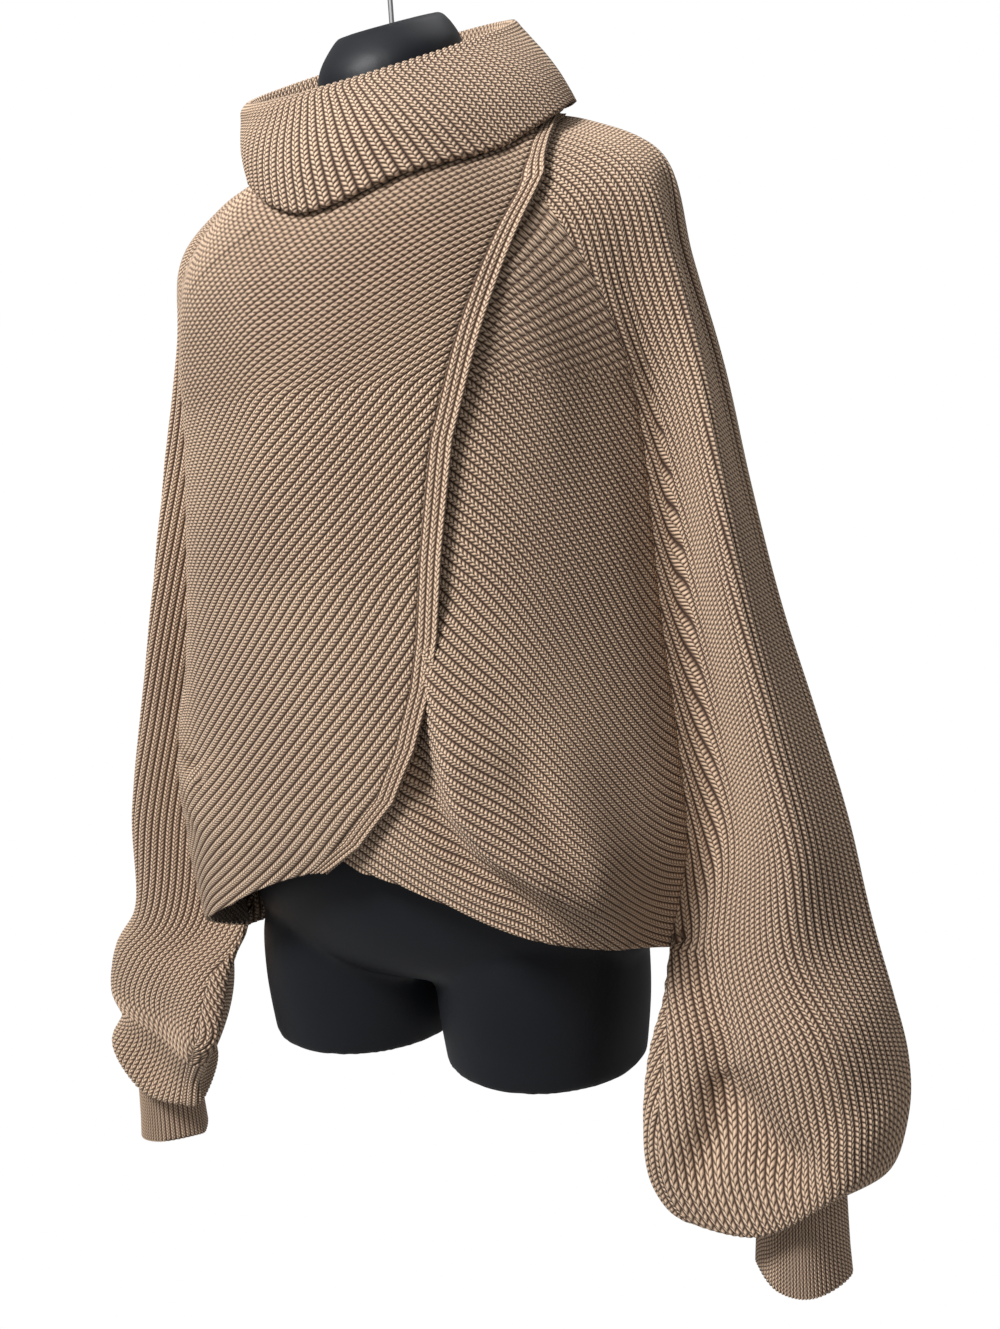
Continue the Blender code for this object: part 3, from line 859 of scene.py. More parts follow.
# Folds of the fronts and of the back
FOLDS = {
    Side.LEFT: (
        Fold("blouson", ((.29, 5.6), (.32, 6.8), (.33, 7.5), (.40, 7.95), (.54, 8.3), (.82, 8.95)),
             .010, .014, 1.8),
        Fold("under the blouson",
             ((.22, 5.8), (.24, 6.9), (.25, 7.6), (.31, 8.15), (.46, 8.6), (.70, 9.0)),
             .010, -.009),
        Fold("second fold", ((.54, 6.7), (.58, 7.4), (.61, 7.9), (.68, 8.5)), .010, .006, 1.2),
        Fold("beside the second fold", ((.47, 6.9), (.50, 7.6), (.58, 8.3)), .009, -.004),
        Fold("beside the sleeve", ((1.0, 3.6), (1.02, 5.4), (1.04, 6.6), (1.08, 7.8), (1.2, 8.9)),
             .020, -.007),
        Fold("inside the lobe", ((1.17, 8.9), (1.25, 10.2), (1.24, 11.2), (1.12, 12.0)),
             .012, -.012),
        Fold("above the cuff", ((1.26, 10.4), (1.34, 11.0), (1.44, 11.6), (1.58, 12.1)),
             .015, -.013),
        Fold("drag from the shoulder", ((.75, 1.8), (.72, 3.2), (.66, 4.6)), .020, .0035),
    ),
    Side.RIGHT: (
        Fold("drag from the neck", ((.20, 1.6), (.10, 3.4), (.12, 5.2)), .022, .0035),
        Fold("hip", ((.75, 6.2), (.55, 7.2), (.30, 8.1)), .018, .005, .8),
        Fold("underarm", ((.95, 3.4), (.90, 5.0), (.86, 6.8)), .014, -.005),
    ),
}
REAR_FOLDS = {
    Side.LEFT: (Fold("back drag", ((3.4, 2.0), (3.5, 4.5), (3.7, 6.8)), .024, .0035),),
    Side.RIGHT: (Fold("back drag", ((3.35, 2.2), (3.45, 4.2), (3.6, 6.4)), .024, .0035),),
}


def place_grid(name: str, points: np.ndarray, normals: np.ndarray, ribs: np.ndarray,
               rows: np.ndarray, material: bpy.types.Material,
               wall: float = WALL) -> bpy.types.Object:
    """Lays a grid of cloth on given points and gives it a wall.

    Args:
        name: The piece's name.
        points: Places by line and by step along the line.
        normals: Directions out of the cloth at those places.
        ribs: Rib number of each place, for the knit's map.
        rows: Stitch number of each place.
        material: The knit.
        wall: Thickness, laid to the inside.

    Returns:
        The piece.
    """
    lines, steps = points.shape[:2]
    made = bmesh.new()
    bmesh.ops.create_grid(made, x_segments=lines - 1, y_segments=steps - 1, size=0.5)
    order = []
    for vert in made.verts:
        i = round((vert.co.x + 0.5) * (lines - 1))
        j = round((vert.co.y + 0.5) * (steps - 1))
        order.append((i, j))
        vert.co = points[i, j]
    made.verts.index_update()
    made.normal_update()
    layer = made.loops.layers.uv.new("knit")
    for vert, (i, j) in zip(made.verts, order):
        for corner in vert.link_loops:
            corner[layer].uv = (ribs[i, j], rows[i, j])
    facing = sum(face.normal.dot(Vector(normals[order[face.verts[0].index]]))
                 for face in made.faces if face.calc_area() > MERGE_WITHIN ** 2)
    if facing < 0:
        bmesh.ops.reverse_faces(made, faces=made.faces)
    bmesh.ops.remove_doubles(made, verts=made.verts, dist=MERGE_WITHIN)
    piece = stand(name, made)
    piece.data.shade_smooth()
    piece.data.materials.append(material)
    solid = piece.modifiers.new("wall", "SOLIDIFY")
    solid.thickness = wall
    solid.offset = -1.0
    return piece


class Cut(NamedTuple):
    """The flat cut of what shows of a piece: its width, length and area."""

    width: float
    length: float
    area: float


def flat_cut(points: np.ndarray) -> Cut:
    """Measures the cut of a piece whose lines run along it.

    Args:
        points: Its places, by line and by step.

    Returns:
        The cut.
    """
    across = np.linalg.norm(np.diff(points, axis=0), axis=-1)
    down = np.linalg.norm(np.diff(points, axis=1), axis=-1)
    corner = np.cross(points[1:, 1:] - points[:-1, :-1], points[1:, :-1] - points[:-1, 1:])
    area = float(np.linalg.norm(corner, axis=-1).sum() / 2)
    width, length = float(across.sum(axis=0).max()), float(down.sum(axis=1).max())
    return Cut(max(width, area / length), length, area)


@dataclass
class RibbedPanel:
    """A stretch of chunky rib whose lines run between the edges of one part of the garment."""

    form: GarmentForm
    side: Side
    relief: RibRelief = field(default_factory=RibRelief)
    folds: tuple = ()

    def displaced(self, u: np.ndarray, level: np.ndarray, rise: np.ndarray, tube: bool) -> tuple:
        """Places of the outer face with its rise and folds, and its normals.

        Args:
            u: Columns.
            level: Levels.
            rise: Distance out of the face.
            tube: Whether they are on the sleeve.

        Returns:
            Points and normals.
        """
        points = self.form.point(self.side, u, level, tube)
        normals = self.form.normal(self.side, u, level, tube)
        for crease in self.folds:
            rise = rise + self.crease(crease, points)
        return points + normals * rise[..., None], normals

    def crease(self, crease: Fold, points: np.ndarray) -> np.ndarray:
        """How far one fold moves each point out of the face.

        Args:
            crease: The fold, in or out of the face.
            points: Places of the face before it.

        Returns:
            One distance in metres for each place.
        """
        places = np.array(crease.places, float)
        share = np.linspace(0, len(places) - 1, FOLD_SPOTS * len(places))
        u = np.interp(share, range(len(places)), places[:, 0])
        level = np.interp(share, range(len(places)), places[:, 1])
        tube = bool(places[:, 1].max() > HEM_LEVEL or places[:, 0].min() >= 1.0)
        path = self.form.point(self.side, u, level, tube)
        flat = points.reshape(-1, 3)
        best = np.full(len(flat), 1e9)
        where = np.zeros(len(flat))
        above = np.zeros(len(flat))
        for k, spot in enumerate(path):
            gap = np.linalg.norm(flat - spot, axis=1)
            nearer = gap < best
            best = np.where(nearer, gap, best)
            where = np.where(nearer, k / (len(path) - 1), where)
            beyond = (flat - spot) @ np.array((self.side.value, 0.0, 1.0))
            above = np.where(nearer, beyond, above)
        width = np.where(above > 0, crease.width * (1 + crease.step), crease.width)
        taper = np.minimum(1.0, np.minimum(where, 1 - where) * FOLD_TAPER) ** FOLD_EASE
        out = crease.height * np.exp(-(best / width) ** 2) * taper
        return out.reshape(points.shape[:-1])

    def grid(self, strands: list, tube: bool, courses: Callable,
             lift: Callable) -> tuple:
        """Points and map of a set of strands.

        Args:
            strands: The lines, each with the same count of places.
            tube: Whether they lie on the sleeve.
            courses: Gives the stitch number from columns, levels and points.
            lift: Gives the distance out of the face from columns and levels.

        Returns:
            Points, normals, rib numbers and stitch numbers, by line and step.
        """
        u, level, rib, inside = (np.array([getattr(s, part) for s in strands])
                                 for part in ("u", "level", "rib", "inside"))
        ridge = self.relief.at(rib) * smooth(0.0, EDGE_FADE, inside)
        points, normals = self.displaced(u, level, lift(u, level) + ridge, tube)
        return points, normals, rib, courses(u, level)


class BodyRibs:
    """Ribs over the body half of a front, falling outward from the free edge."""

    def __init__(self, form: GarmentForm, side: Side, free_edge: Callable) -> None:
        """Tabulates the rib number over the half.

        Args:
            form: The garment.
            side: The half that the front belongs to.
            free_edge: Gives the column of the free edge at each level.
        """
        self.form, self.side, self.free_edge = form, side, free_edge
        self.u = np.linspace(-1.95, 1.0, 180)
        self.level = np.linspace(0, HEM_LEVEL, 140)
        grid_u, grid_level = np.meshgrid(self.u, self.level, indexing="ij")
        points = form.point(side, grid_u, grid_level, False)
        self.height = points[..., 2] + HANG_HEIGHT
        centre = int(np.argmin(abs(self.u)))
        run = run_along(points[..., :2])
        self.out = run - run[centre]
        self.number = self.rib_number(self.out, self.height)
        self.reach = float(abs(run[-1] - run[centre]).max())

    def slope(self, height: np.ndarray) -> np.ndarray:
        """How steeply the ribs fall outward at a height."""
        return np.interp(height, RIB_HEIGHTS, RIB_SLOPES[self.side])

    def rib_number(self, out: np.ndarray, height: np.ndarray) -> np.ndarray:
        """Rib number of places given by their way out from the centre and their height.

        Args:
            out: Metres round the body from its centre.
            height: Metres above the rims.

        Returns:
            One number for each place.
        """
        bend = smooth(.12, .24, out) * .05 - smooth(.02, .13, -out) * .012
        steep = self.slope(height)
        return (height + steep * out + bend) / np.sqrt(1 + steep ** 2) / RIB_PITCH

    def courses(self, u: np.ndarray, level: np.ndarray) -> np.ndarray:
        """Stitch numbers, counted along the ribs.

        Args:
            u: Columns.
            level: Levels.

        Returns:
            One number for each place.
        """
        points = self.form.point(self.side, u, level, False)
        height = points[..., 2] + HANG_HEIGHT
        at_u = np.interp(u, self.u, np.arange(len(self.u)))
        at_level = np.interp(level, self.level, np.arange(len(self.level)))
        i = np.clip(at_u.astype(int), 0, len(self.u) - 2)
        j = np.clip(at_level.astype(int), 0, len(self.level) - 2)
        fu, fl = at_u - i, at_level - j
        out = (self.out[i, j] * (1 - fu) * (1 - fl) + self.out[i + 1, j] * fu * (1 - fl)
               + self.out[i, j + 1] * (1 - fu) * fl + self.out[i + 1, j + 1] * fu * fl)
        steep = self.slope(height)
        return (out - steep * height) / np.sqrt(1 + steep ** 2) / STITCH_PITCH

    def strands(self, steps: int) -> list:
        """Every line of the body half, cut off at its edges.

        Args:
            steps: How many places each line has.

        Returns:
            The lines, from the lowest rib up.
        """
        made = []
        fine_u = np.linspace(self.u[0], self.u[-1], FINE_COLUMNS)
        number = np.array([np.interp(fine_u, self.u, self.number[:, j])
                           for j in range(len(self.level))]).T
        edge = self.free_edge(self.level)
        covered = number[fine_u[:, None] >= edge[None, :]]
        first = math.ceil(covered.min() * LINES_A_RIB) + 1
        last = math.floor(covered.max() * LINES_A_RIB) - 1
        for line in range(first, last + 1):
            rib = line / LINES_A_RIB
            level = np.array([np.interp(-rib, -row, self.level) for row in number])
            margin = np.minimum(np.minimum(rib - number[:, -1], number[:, 0] - rib) * RIB_PITCH,
                                (fine_u - np.interp(level, self.level, edge)) * self.reach)
            spots = np.flatnonzero(margin > 0)
            if len(spots) < 3:
                continue
            runs = np.split(spots, np.flatnonzero(np.diff(spots) > 1) + 1)
            spots = max(runs, key=len)
            path = [fine_u[spots[0]], *fine_u[spots], fine_u[spots[-1]]]
            if spots[0] > 0:
                path[0] = np.interp(0, margin[spots[0] - 1:spots[0] + 1],
                                    fine_u[spots[0] - 1:spots[0] + 1])
            if spots[-1] < len(fine_u) - 1:
                path[-1] = np.interp(0, margin[spots[-1]:spots[-1] + 2][::-1],
                                     fine_u[spots[-1]:spots[-1] + 2][::-1])
            share = np.linspace(0, len(path) - 1, steps)
            u = np.interp(share, range(len(path)), path)
            ends = np.minimum(share, share[-1] - share) * (fine_u[1] - fine_u[0])
            inside = np.minimum(1.0 - u, ends) * self.reach
            made.append(Strand(np.full(steps, rib), u, np.interp(u, fine_u, level), inside))
        return made


class ParallelRibs:
    """Ribs that lie side by side, counted from a seam or centre line toward an edge."""

    def __init__(self, form: GarmentForm, side: Side, zero: float, edge: float, tube: bool,
                 gather_from: float = 99.0) -> None:
        """Measures the stretch at every level.

        Args:
            form: The garment.
            side: The half that it is on.
            zero: Column of the line that the ribs are counted from.
            edge: Column of the other edge.
            tube: Whether it is part of a sleeve.
            gather_from: Level below which the ribs draw together, all running on.
        """
        self.form, self.side, self.zero, self.edge, self.tube = form, side, zero, edge, tube
        last = CUFF_LEVEL if tube else HEM_LEVEL
        self.level = np.linspace(0, last, 180)
        self.column, self.way = form.across(side, zero, edge, self.level, tube)
        whole = self.way[:, -1]
        held = np.interp(gather_from, self.level, whole)
        self.scale = np.where(self.level > gather_from, whole / held, 1.0)
        guide = form.point(side, (zero * .65 + edge * .35), self.level, tube)
        self.run = run_along(guide)

    def courses(self, u: np.ndarray, level: np.ndarray) -> np.ndarray:
        """Stitch numbers, counted down the piece."""
        return np.interp(level, self.level, self.run) / STITCH_PITCH

    def strands(self, steps: int) -> list:
        """Every line of the stretch; where it has run into the edge it follows that.

        Args:
            steps: How many places each line has.

        Returns:
            The lines, from the zero line to the edge.
        """
        made = []
        level = np.linspace(0, self.level[-1], steps)
        whole = np.interp(level, self.level, self.way[:, -1])
        scale = np.interp(level, self.level, self.scale)
        ways = np.array([np.interp(level, self.level, self.way[:, k])
                         for k in range(self.way.shape[1])]).T
        widest = (whole / scale).max()
        for line in range(int(widest / RIB_PITCH * LINES_A_RIB) + 2):
            reach = np.minimum(line / LINES_A_RIB * RIB_PITCH * scale, whole)
            u = np.array([np.interp(r, way, self.column) for r, way in zip(reach, ways)])
            made.append(Strand(reach / scale / RIB_PITCH, u, level, whole - reach))
        return made


@dataclass
class Sweater:
    """Fronts, back, sleeves, collar, cuffs and wrap band."""

    form: GarmentForm
    chunky: bpy.types.Material
    fine: bpy.types.Material

    def cloth(self, name: str, panel: RibbedPanel, ribs: np.ndarray, steps: int, tube: bool,
              lift: Callable, node: str) -> bpy.types.Object:
        """Makes one ribbed piece that stands for part of a CAD node.

        Args:
            name: The piece's name.
            panel: The stretch of cloth, with its folds.
            ribs: Its lines.
            steps: Places along each line.
            tube: Whether it is on the sleeve.
            lift: Gives the distance out of the face.
            node: The CAD node.

        Returns:
            The piece.
        """
        strands = ribs.strands(steps)
        points, normals, numbers, rows = panel.grid(strands, tube, ribs.courses, lift)
        piece = place_grid(name, points, normals, numbers, rows, self.chunky)
        smooth_points = self.form.point(panel.side, np.array([s.u for s in strands]),
                                        np.array([s.level for s in strands]), tube)
        self.own(piece, "chunky_knit", node, flat_cut(smooth_points))
        return piece

    @staticmethod
    def own(piece: bpy.types.Object, slot: str, node: str, cut: Cut, held: str = "hung",
            rests_on: tuple = ("torso_form",)) -> None:
        """Makes a piece of cloth ride on the part, stand for its node and state its cut.

        Args:
            piece: The piece.
            slot: Not used.
            node: The CAD node that it stands for.
            cut: Its flat cut.
            held: Not used.
            rests_on: Not used.
        """
        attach(piece, "root")
        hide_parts(node)
        log.info("%s: cut %.3f by %.3f m, %.4f m2", piece.name, *cut)

    def under_edge(self, level: np.ndarray) -> np.ndarray:
        """Free edge of the left front, hidden under the right."""
        return np.maximum(-self.form.wrap_column(level), -UNDER_REACH)

    def over_edge(self, level: np.ndarray) -> np.ndarray:
        """Edge of the right front where the band joins it."""
        return -self.form.beside_wrap(level, BAND_WIDTH + SEAM_GAP)

    @staticmethod
    def no_lift(u: np.ndarray, level: np.ndarray) -> np.ndarray:
        """No distance out of the face."""
        return np.zeros(np.shape(u))

    def fronts(self) -> list:
        """Both fronts with the fore halves of their sleeves.

        Returns:
            The pieces.
        """
        form = self.form
        edges = {Side.LEFT: self.under_edge, Side.RIGHT: self.over_edge}
        lifts = {Side.LEFT: self.no_lift, Side.RIGHT: form.over_lift}
        made = []
        for side in Side:
            label = side.name.lower()
            panel = RibbedPanel(form, side, folds=FOLDS[side])
            body = BodyRibs(form, side, edges[side])
            sleeve = ParallelRibs(form, side, 2.0, 1.0, True, gather_from=GATHER_LEVEL)
            node = "front_" + label
            made.append(self.cloth(f"front_{label}_body", panel, body, BODY_STEPS, False,
                                   lifts[side], node))
            made.append(self.cloth(f"front_{label}_sleeve", panel, sleeve, SLEEVE_STEPS, True,
                                   lifts[side], node))
        return made

    def backs(self) -> list:
        """The back, in two halves, and the rear halves of the sleeves.

        Returns:
            The pieces.
        """
        made = []
        for side in Side:
            label = side.name.lower()
            panel = RibbedPanel(self.form, side, folds=REAR_FOLDS[side])
            body = ParallelRibs(self.form, side, 4.0, 3.0, False)
            sleeve = ParallelRibs(self.form, side, 2.0, 3.0, True, gather_from=GATHER_LEVEL)
            made.append(self.cloth(f"back_{label}_body", panel, body, BODY_STEPS, False,
                                   self.no_lift, "back"))
            made.append(self.cloth(f"back_{label}_sleeve", panel, sleeve, SLEEVE_STEPS, True,
                                   self.no_lift, "back"))
        return made

    def band(self) -> bpy.types.Object:
        """The wrap edge's border: fine wales and a rolled outer edge.

        Returns:
            The piece.
        """
        reach = np.linspace(BAND_WIDTH + BAND_UNDER, 0.0, BAND_LINES)
        level = np.linspace(0, HEM_LEVEL, BAND_STEPS)
        u = np.array([self.form.beside_wrap(level, r) for r in reach])
        levels = np.broadcast_to(level, u.shape)
        points = self.form.point(Side.LEFT, u, levels, False)
        normals = self.form.normal(Side.LEFT, u, levels, False)
        roll = smooth(ROLL_WIDTH, 0.0, reach) * ROLL_HEIGHT
        tuck = smooth(BAND_WIDTH, BAND_WIDTH + SEAM_TUCK, reach) * SEAM_TUCK
        wales = RibRelief(BAND_RELIEF).at(reach / BAND_PITCH)
        out = self.form.over_lift(-u, levels) + (roll + wales - tuck)[:, None]
        length = flat_cut(points).length
        cut = Cut(BAND_CUT_WIDTH, length, BAND_CUT_WIDTH * length)
        points = points + normals * out[..., None]
        run = run_along(points[0])
        ribs = np.repeat((reach / BAND_PITCH)[:, None], BAND_STEPS, axis=1)
        rows = np.repeat((run / BAND_STITCH)[None, :], BAND_LINES, axis=0)
        piece = place_grid("wrap_band_knit", points, normals, ribs, rows, self.fine)
        self.own(piece, "fine_rib", "wrap_band", cut)
        return piece

    def cuff(self, side: Side) -> bpy.types.Object:
        """A cuff of fine rib hanging from the turned end of its sleeve.

        Args:
            side: The sleeve that it is on.

        Returns:
            The piece.
        """
        label = side.name.lower()
        round_it = np.linspace(COLUMN_AT[EDGE], COLUMN_AT[REAR], CUFF_LINES)
        ring = self.form.point(side, round_it, np.full(CUFF_LINES, CUFF_LEVEL), True)
        ring[-1] = ring[0]
        centre = ring[:-1].mean(axis=0)
        way = unit((ring - centre) * np.array((1, 1, 0)))
        drops = np.linspace(0, 1, CUFF_STEPS)
        drop = np.interp(drops, np.linspace(0, 1, len(CUFF_ROWS)), [d for d, _ in CUFF_ROWS])
        spread = np.interp(drops, np.linspace(0, 1, len(CUFF_ROWS)), [s for _, s in CUFF_ROWS])
        number = np.linspace(0, CUFF_RIBS, CUFF_LINES)
        relief = RibRelief(CUFF_RELIEF, 0.6).at(number)
        out = (spread - SEAM_GAP)[None, :] + relief[:, None]
        points = ring[:, None, :] + way[:, None, :] * out[..., None]
        points[..., 2] += drop[None, :]
        normals = np.repeat(way[:, None, :], CUFF_STEPS, axis=1)
        plain = ring[:, None, :] + way[:, None, :] * (spread - SEAM_GAP)[None, :, None]
        plain[..., 2] += drop[None, :]
        ribs = np.repeat(number[:, None], CUFF_STEPS, axis=1)
        rows = np.repeat((-drop / CUFF_STITCH)[None, :], CUFF_LINES, axis=0)
        piece = place_grid(f"cuff_{label}_knit", points, normals, ribs, rows, self.fine)
        sleeves = (f"front_{label}_sleeve", f"back_{label}_sleeve")
        drawn = flat_cut(plain)
        cut = Cut(drawn.width * CUFF_DRAW_IN, drawn.length, drawn.area * CUFF_DRAW_IN)
        self.own(piece, "fine_rib", f"cuff_{label}", cut, rests_on=sleeves)
        return piece


@dataclass
class Collar:
    """The neck's rib, standing from the seam and folded over onto the shoulders."""

    form: GarmentForm
    knit: bpy.types.Material
    ribs: int = 130
    rows: int = 52
    rise: float = 0.0010
    fall_clear: float = 0.0012
    swell: float = 0.006
    fall_at: tuple = (-4, -3, -2, -1.2, -.6, 0, .6, 1.2, 2, 3, 4)
    fall_level: tuple = (.22, .18, .12, .20, .60, .98, 1.10, 1.02, .80, .45, .22)
    fall_blur: float = .25
    fall_rows: tuple = (.14, .36, .60, .82)
    rings: tuple = (
        (.000, .0770, -.0735, .0625, .614, .672),
        (-.001, .0790, -.0815, .0635, .628, .692),
        (-.002, .0845, -.0920, .0675, .638, .710),
        (-.002, .0900, -.1000, .075, .643, .720),
        (-.002, .0940, -.1060, .081, .638, .716),
    )

    def build(self) -> bpy.types.Object:
        """Makes the collar with every rib raised.

        Returns:
            The piece.
        """
        lines = self.ribs * LINES_A_RIB + 1
        u = np.linspace(-4.0, 4.0, lines)
        turn = u * math.pi / 4
        share = (1 - np.cos(turn)) / 2
        rows = []
        for centre_x, radius_x, front_y, back_y, front_h, back_h in self.rings:
            middle, radius_y = (front_y + back_y) / 2, (back_y - front_y) / 2
            rows.append(np.stack((centre_x + radius_x * np.sin(turn),
                                  middle - radius_y * np.cos(turn),
                                  front_h + (back_h - front_h) * share - HANG_HEIGHT), axis=-1))
        zero = np.zeros(lines)
        seam = self.form.point(Side.LEFT, u, zero, False)
        rise = unit(seam - self.form.point(Side.LEFT, u, zero + .2, False))
        seam = seam - self.form.normal(Side.LEFT, u, zero, False) * WALL + rise * self.rise
        near = [(u + step + 4) % 8 - 4 for step in (-self.fall_blur, 0, self.fall_blur)]
        level = np.mean([np.interp(at, self.fall_at, self.fall_level) for at in near], axis=0)
        edge = (self.form.point(Side.LEFT, u, level, False)
                + self.form.normal(Side.LEFT, u, level, False) * (LAYER + WALL + self.fall_clear))
        outward = np.stack((np.sin(turn), -np.cos(turn), zero), axis=-1)
        for part in self.fall_rows:
            rows.append(rows[4] + (edge - rows[4]) * part
                        + outward * self.swell * math.sin(math.pi * part))
        control = np.array([seam, *rows, edge])
        points = self.spread(control)
        points[:, -1] = points[:, 0]
        number = np.linspace(0, self.ribs, lines)
        ahead = np.concatenate((points[:, 1:], points[:, 1:2]), axis=1)
        behind = np.concatenate((points[:, -2:-1], points[:, :-1]), axis=1)
        normal = -unit(np.cross(ahead - behind, np.gradient(points, axis=0)))
        cut = flat_cut(points.transpose(1, 0, 2))
        points = points + normal * RibRelief(COLLAR_RELIEF).at(number)[None, :, None]
        run = run_along(points[:, lines // 2]) / STITCH_PITCH
        grid = points.transpose(1, 0, 2)
        piece = place_grid("collar_knit", grid, normal.transpose(1, 0, 2),
                           np.repeat(number[:, None], len(run), axis=1),
                           np.repeat(run[None, :], lines, axis=0), self.knit)
        Sweater.own(piece, "chunky_knit", "collar", cut, "folded",
                    ("torso_form", "front_left_body", "front_right_body", "back_left_body"))
        return piece

    def spread(self, control: np.ndarray) -> np.ndarray:
        """More rows on smooth curves through the given ones.

        Args:
            control: Points by row and column.

        Returns:
            Points by row and column.
        """
        lengths = np.linalg.norm(np.diff(control, axis=0), axis=-1).mean(axis=1)
        at = np.concatenate(((0.0,), lengths.cumsum()))
        made = []
        for spot in np.linspace(0, at[-1], self.rows):
            k = int(np.clip(np.searchsorted(at, spot) - 1, 0, len(control) - 2))
            before, after = control[max(k - 1, 0)], control[min(k + 2, len(control) - 1)]
            run = at[k + 1] - at[k]
            low, high = at[max(k - 1, 0)], at[min(k + 2, len(at) - 1)]
            slope_a = (control[k + 1] - before) / (at[k + 1] - low) * run
            slope_b = (after - control[k]) / (high - at[k]) * run
            share = (spot - at[k]) / run
            made.append(hermite(control[k], control[k + 1], slope_a, slope_b, share))
        return np.array(made)


class FormRing(NamedTuple):
    """A level of the torso form or of a thigh."""

    front_h: float
    back_h: float
    half_width: float
    front_y: float
    back_y: float


@dataclass
class TorsoForm:
    """The limbless black form, with its neck stub and two thigh stubs."""

    finish: bpy.types.Material
    columns: int = 96
    levels_a_ring: int = 6
    thigh_at: float = .0775
    voxel: float = 0.0040
    torso: tuple = (
        FormRing(.058, .058, .090, -.050, .055), FormRing(.078, .078, .150, -.088, .084),
        FormRing(.125, .125, .162, -.106, .094), FormRing(.190, .190, .158, -.104, .090),
        FormRing(.245, .245, .140, -.092, .080), FormRing(.305, .305, .128, -.086, .074),
        FormRing(.370, .370, .134, -.098, .078), FormRing(.435, .435, .148, -.116, .084),
        FormRing(.490, .490, .158, -.106, .088), FormRing(.535, .535, .168, -.084, .080),
        FormRing(.565, .565, .166, -.062, .066), FormRing(.590, .592, .140, -.052, .058),
        FormRing(.6075, .6135, .107, -.0485, .0545), FormRing(.6213, .6333, .0713, -.048, .052),
        FormRing(.640, .662, .052, -.050, .048), FormRing(.669, .701, .050, -.052, .043),
        FormRing(.694, .720, .036, -.038, .032),
    )
    thigh: tuple = (
        FormRing(.000, .000, .0700, -.081, .061), FormRing(.050, .050, .0745, -.086, .068),
        FormRing(.095, .095, .0700, -.084, .070), FormRing(.120, .120, .0500, -.060, .050),
    )

    def loft(self, made: bmesh.types.BMesh, rings: tuple, centre_x: float) -> None:
        """Adds a closed body through smooth levels between the rings.

        Args:
            made: The bmesh to add to.
            rings: Its levels, from the lowest up.
            centre_x: Where its middle stands across the form.
        """
        fine = np.linspace(0, len(rings) - 1, self.levels_a_ring * (len(rings) - 1) + 1)
        table = np.array(rings)
        loops = []
        for spot in fine:
            k = min(int(spot), len(rings) - 2)
            before, after = table[max(k - 1, 0)], table[min(k + 2, len(table) - 1)]
            row = hermite(table[k], table[k + 1], (table[k + 1] - before) / 2,
                          (after - table[k]) / 2, spot - k)
            front_h, back_h, half_width, front_y, back_y = row
            ring = bmesh.ops.create_circle(made, segments=self.columns, radius=1.0)["verts"]
            for vert in ring:
                share = (1 + vert.co.y) / 2
                vert.co = Vector((centre_x + half_width * vert.co.x,
                                  front_y + (back_y - front_y) * share,
                                  front_h + (back_h - front_h) * share - HANG_HEIGHT))
            loops.append(list({edge for vert in ring for edge in vert.link_edges}))
        for lower, upper in zip(loops, loops[1:]):
            bmesh.ops.bridge_loops(made, edges=lower + upper)
        for loop in (loops[0], loops[-1]):
            bmesh.ops.contextual_create(made, geom=loop)

    def build(self) -> bpy.types.Object:
        """Makes the form as one smooth skin.

        Returns:
            The piece.
        """
        made = bmesh.new()
        self.loft(made, self.torso, 0.0)
        for side in Side:
            self.loft(made, self.thigh, side.value * self.thigh_at)
        bmesh.ops.recalc_face_normals(made, faces=made.faces)
        piece = stand("torso_form", made)
        skin = piece.modifiers.new("skin", "REMESH")
        skin.mode = "VOXEL"
        skin.voxel_size = self.voxel
        skin.use_smooth_shade = True
        soften = piece.modifiers.new("soften", "SMOOTH")
        soften.factor = 0.5
        soften.iterations = 5
        bpy.context.view_layer.update()
        depsgraph = bpy.context.evaluated_depsgraph_get()
        final = bpy.data.meshes.new_from_object(piece.evaluated_get(depsgraph))
        piece.modifiers.clear()
        piece.data = final
        final.shade_smooth()
        final.materials.clear()
        final.materials.append(self.finish)
        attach(piece, "root")
        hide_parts("dress_form")
        return piece


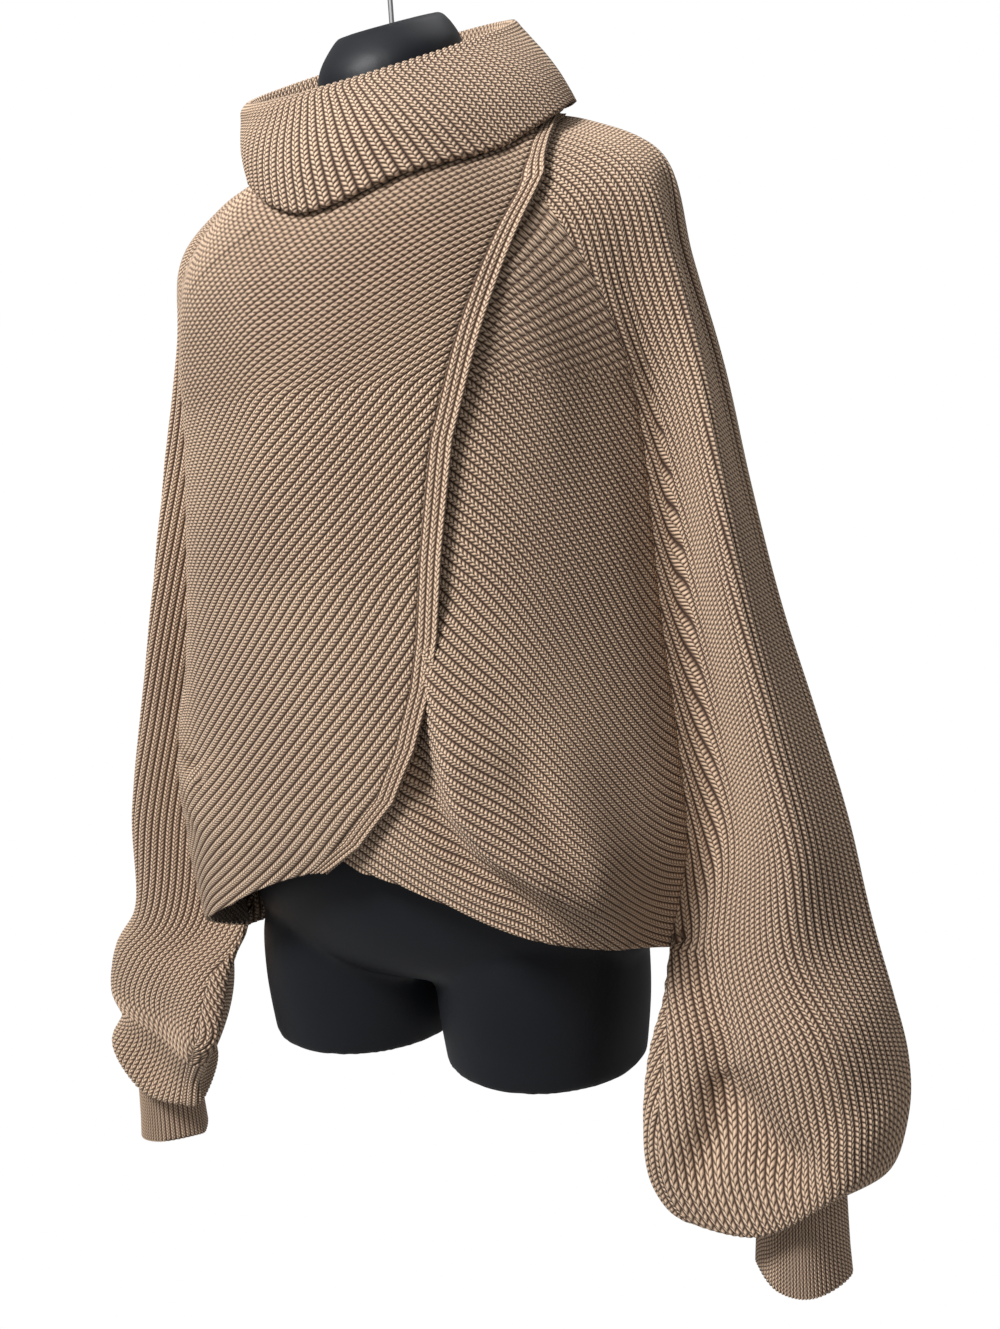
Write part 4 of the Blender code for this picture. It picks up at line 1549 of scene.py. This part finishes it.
@dataclass
class Studio:
    """A pale floor, soft lights and the camera.

    Ambient is the strength of the white surroundings' light on the object.
    """

    location: tuple = (0.5159, -0.7643, 0.396 - HANG_HEIGHT)
    heading: float = 31.226
    fall: float = 7.736
    roll: float = -3.668
    lens: float = 35.16
    floor_z: float = -1.35
    ambient: float = 0.34

    def build(self) -> None:
        """Makes the floor, the lights, the world and the camera."""
        made = bmesh.new()
        bmesh.ops.create_grid(made, x_segments=2, y_segments=2, size=12.0)
        floor = stand("floor", made)
        floor.location = (0, 0, self.floor_z)
        pale = Pattern("pale_floor")
        pale.shader.inputs["Base Color"].default_value = (0.45, 0.45, 0.45, 1.0)
        pale.shader.inputs["Roughness"].default_value = 0.9
        floor.data.materials.append(pale.material)
        floor.visible_camera = False
        world = bpy.data.worlds.new("studio")
        world.use_nodes = True
        ground = world.node_tree.nodes["Background"]
        ground.inputs["Color"].default_value = (1.0, 1.0, 1.0, 1.0)
        seen = world.node_tree.nodes.new("ShaderNodeLightPath").outputs["Is Camera Ray"]
        strength = world.node_tree.nodes.new("ShaderNodeMapRange")
        strength.inputs["To Min"].default_value = self.ambient
        world.node_tree.links.new(seen, strength.inputs["Value"])
        world.node_tree.links.new(strength.outputs["Result"], ground.inputs["Strength"])
        bpy.context.scene.world = world
        bpy.context.scene.view_settings.view_transform = "Standard"
        aim = Vector((0.0, 0.0, -0.35))
        for name, place, size, power in (
                ("key", (-0.45, -1.55, 1.1), 0.6, 70.0),
                ("top", (0.2, 0.6, 1.4), 1.0, 8.0)):
            light = bpy.data.lights.new(name, "AREA")
            light.size = size
            light.energy = power
            lamp = bpy.data.objects.new(name, light)
            lamp.location = place
            lamp.rotation_euler = (aim - Vector(place)).to_track_quat("-Z", "Y").to_euler()
            bpy.context.scene.collection.objects.link(lamp)
        self.camera()

    def camera(self) -> None:
        """Sets the camera where the photograph's stood."""
        turn, tilt, lean = (math.radians(a) for a in (self.heading, self.fall, self.roll))
        back = Vector((math.sin(turn) * math.cos(tilt), -math.cos(turn) * math.cos(tilt),
                       math.sin(tilt)))
        right = (-back).cross(Vector((0, 0, 1))).normalized()
        up = right.cross(-back)
        right, up = (math.cos(lean) * right + math.sin(lean) * up,
                     math.cos(lean) * up - math.sin(lean) * right)
        lens = bpy.data.cameras.new("camera")
        lens.lens = self.lens
        lens.clip_start = 0.05
        view = bpy.data.objects.new("camera", lens)
        turned = Matrix((right, up, back)).transposed().to_4x4()
        view.matrix_world = Matrix.Translation(self.location) @ turned
        bpy.context.scene.collection.objects.link(view)
        bpy.context.scene.camera = view


def main() -> None:
    """Builds the sweater, the form, the light and the camera."""
    logging.basicConfig(level=logging.INFO)
    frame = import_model()
    garment = GarmentForm()
    chunky, fine = CHUNKY.build(), FINE.build()
    sweater = Sweater(garment, chunky, fine)
    pieces = [*sweater.fronts(), *sweater.backs(), sweater.band()]
    pieces += [sweater.cuff(side) for side in Side]
    pieces.append(Collar(garment, chunky).build())
    pieces.append(TorsoForm(FormFinish().build()).build())
    hook = frame["nodes"]["hook"]
    hook.data.materials.clear()
    hook.data.materials.append(WireFinish().build())
    Studio().build()
    for piece in pieces:
        log.info("%s: %d faces", piece.name, len(piece.data.polygons))
    bpy.context.view_layer.update()


if __name__ == "__main__":
    main()
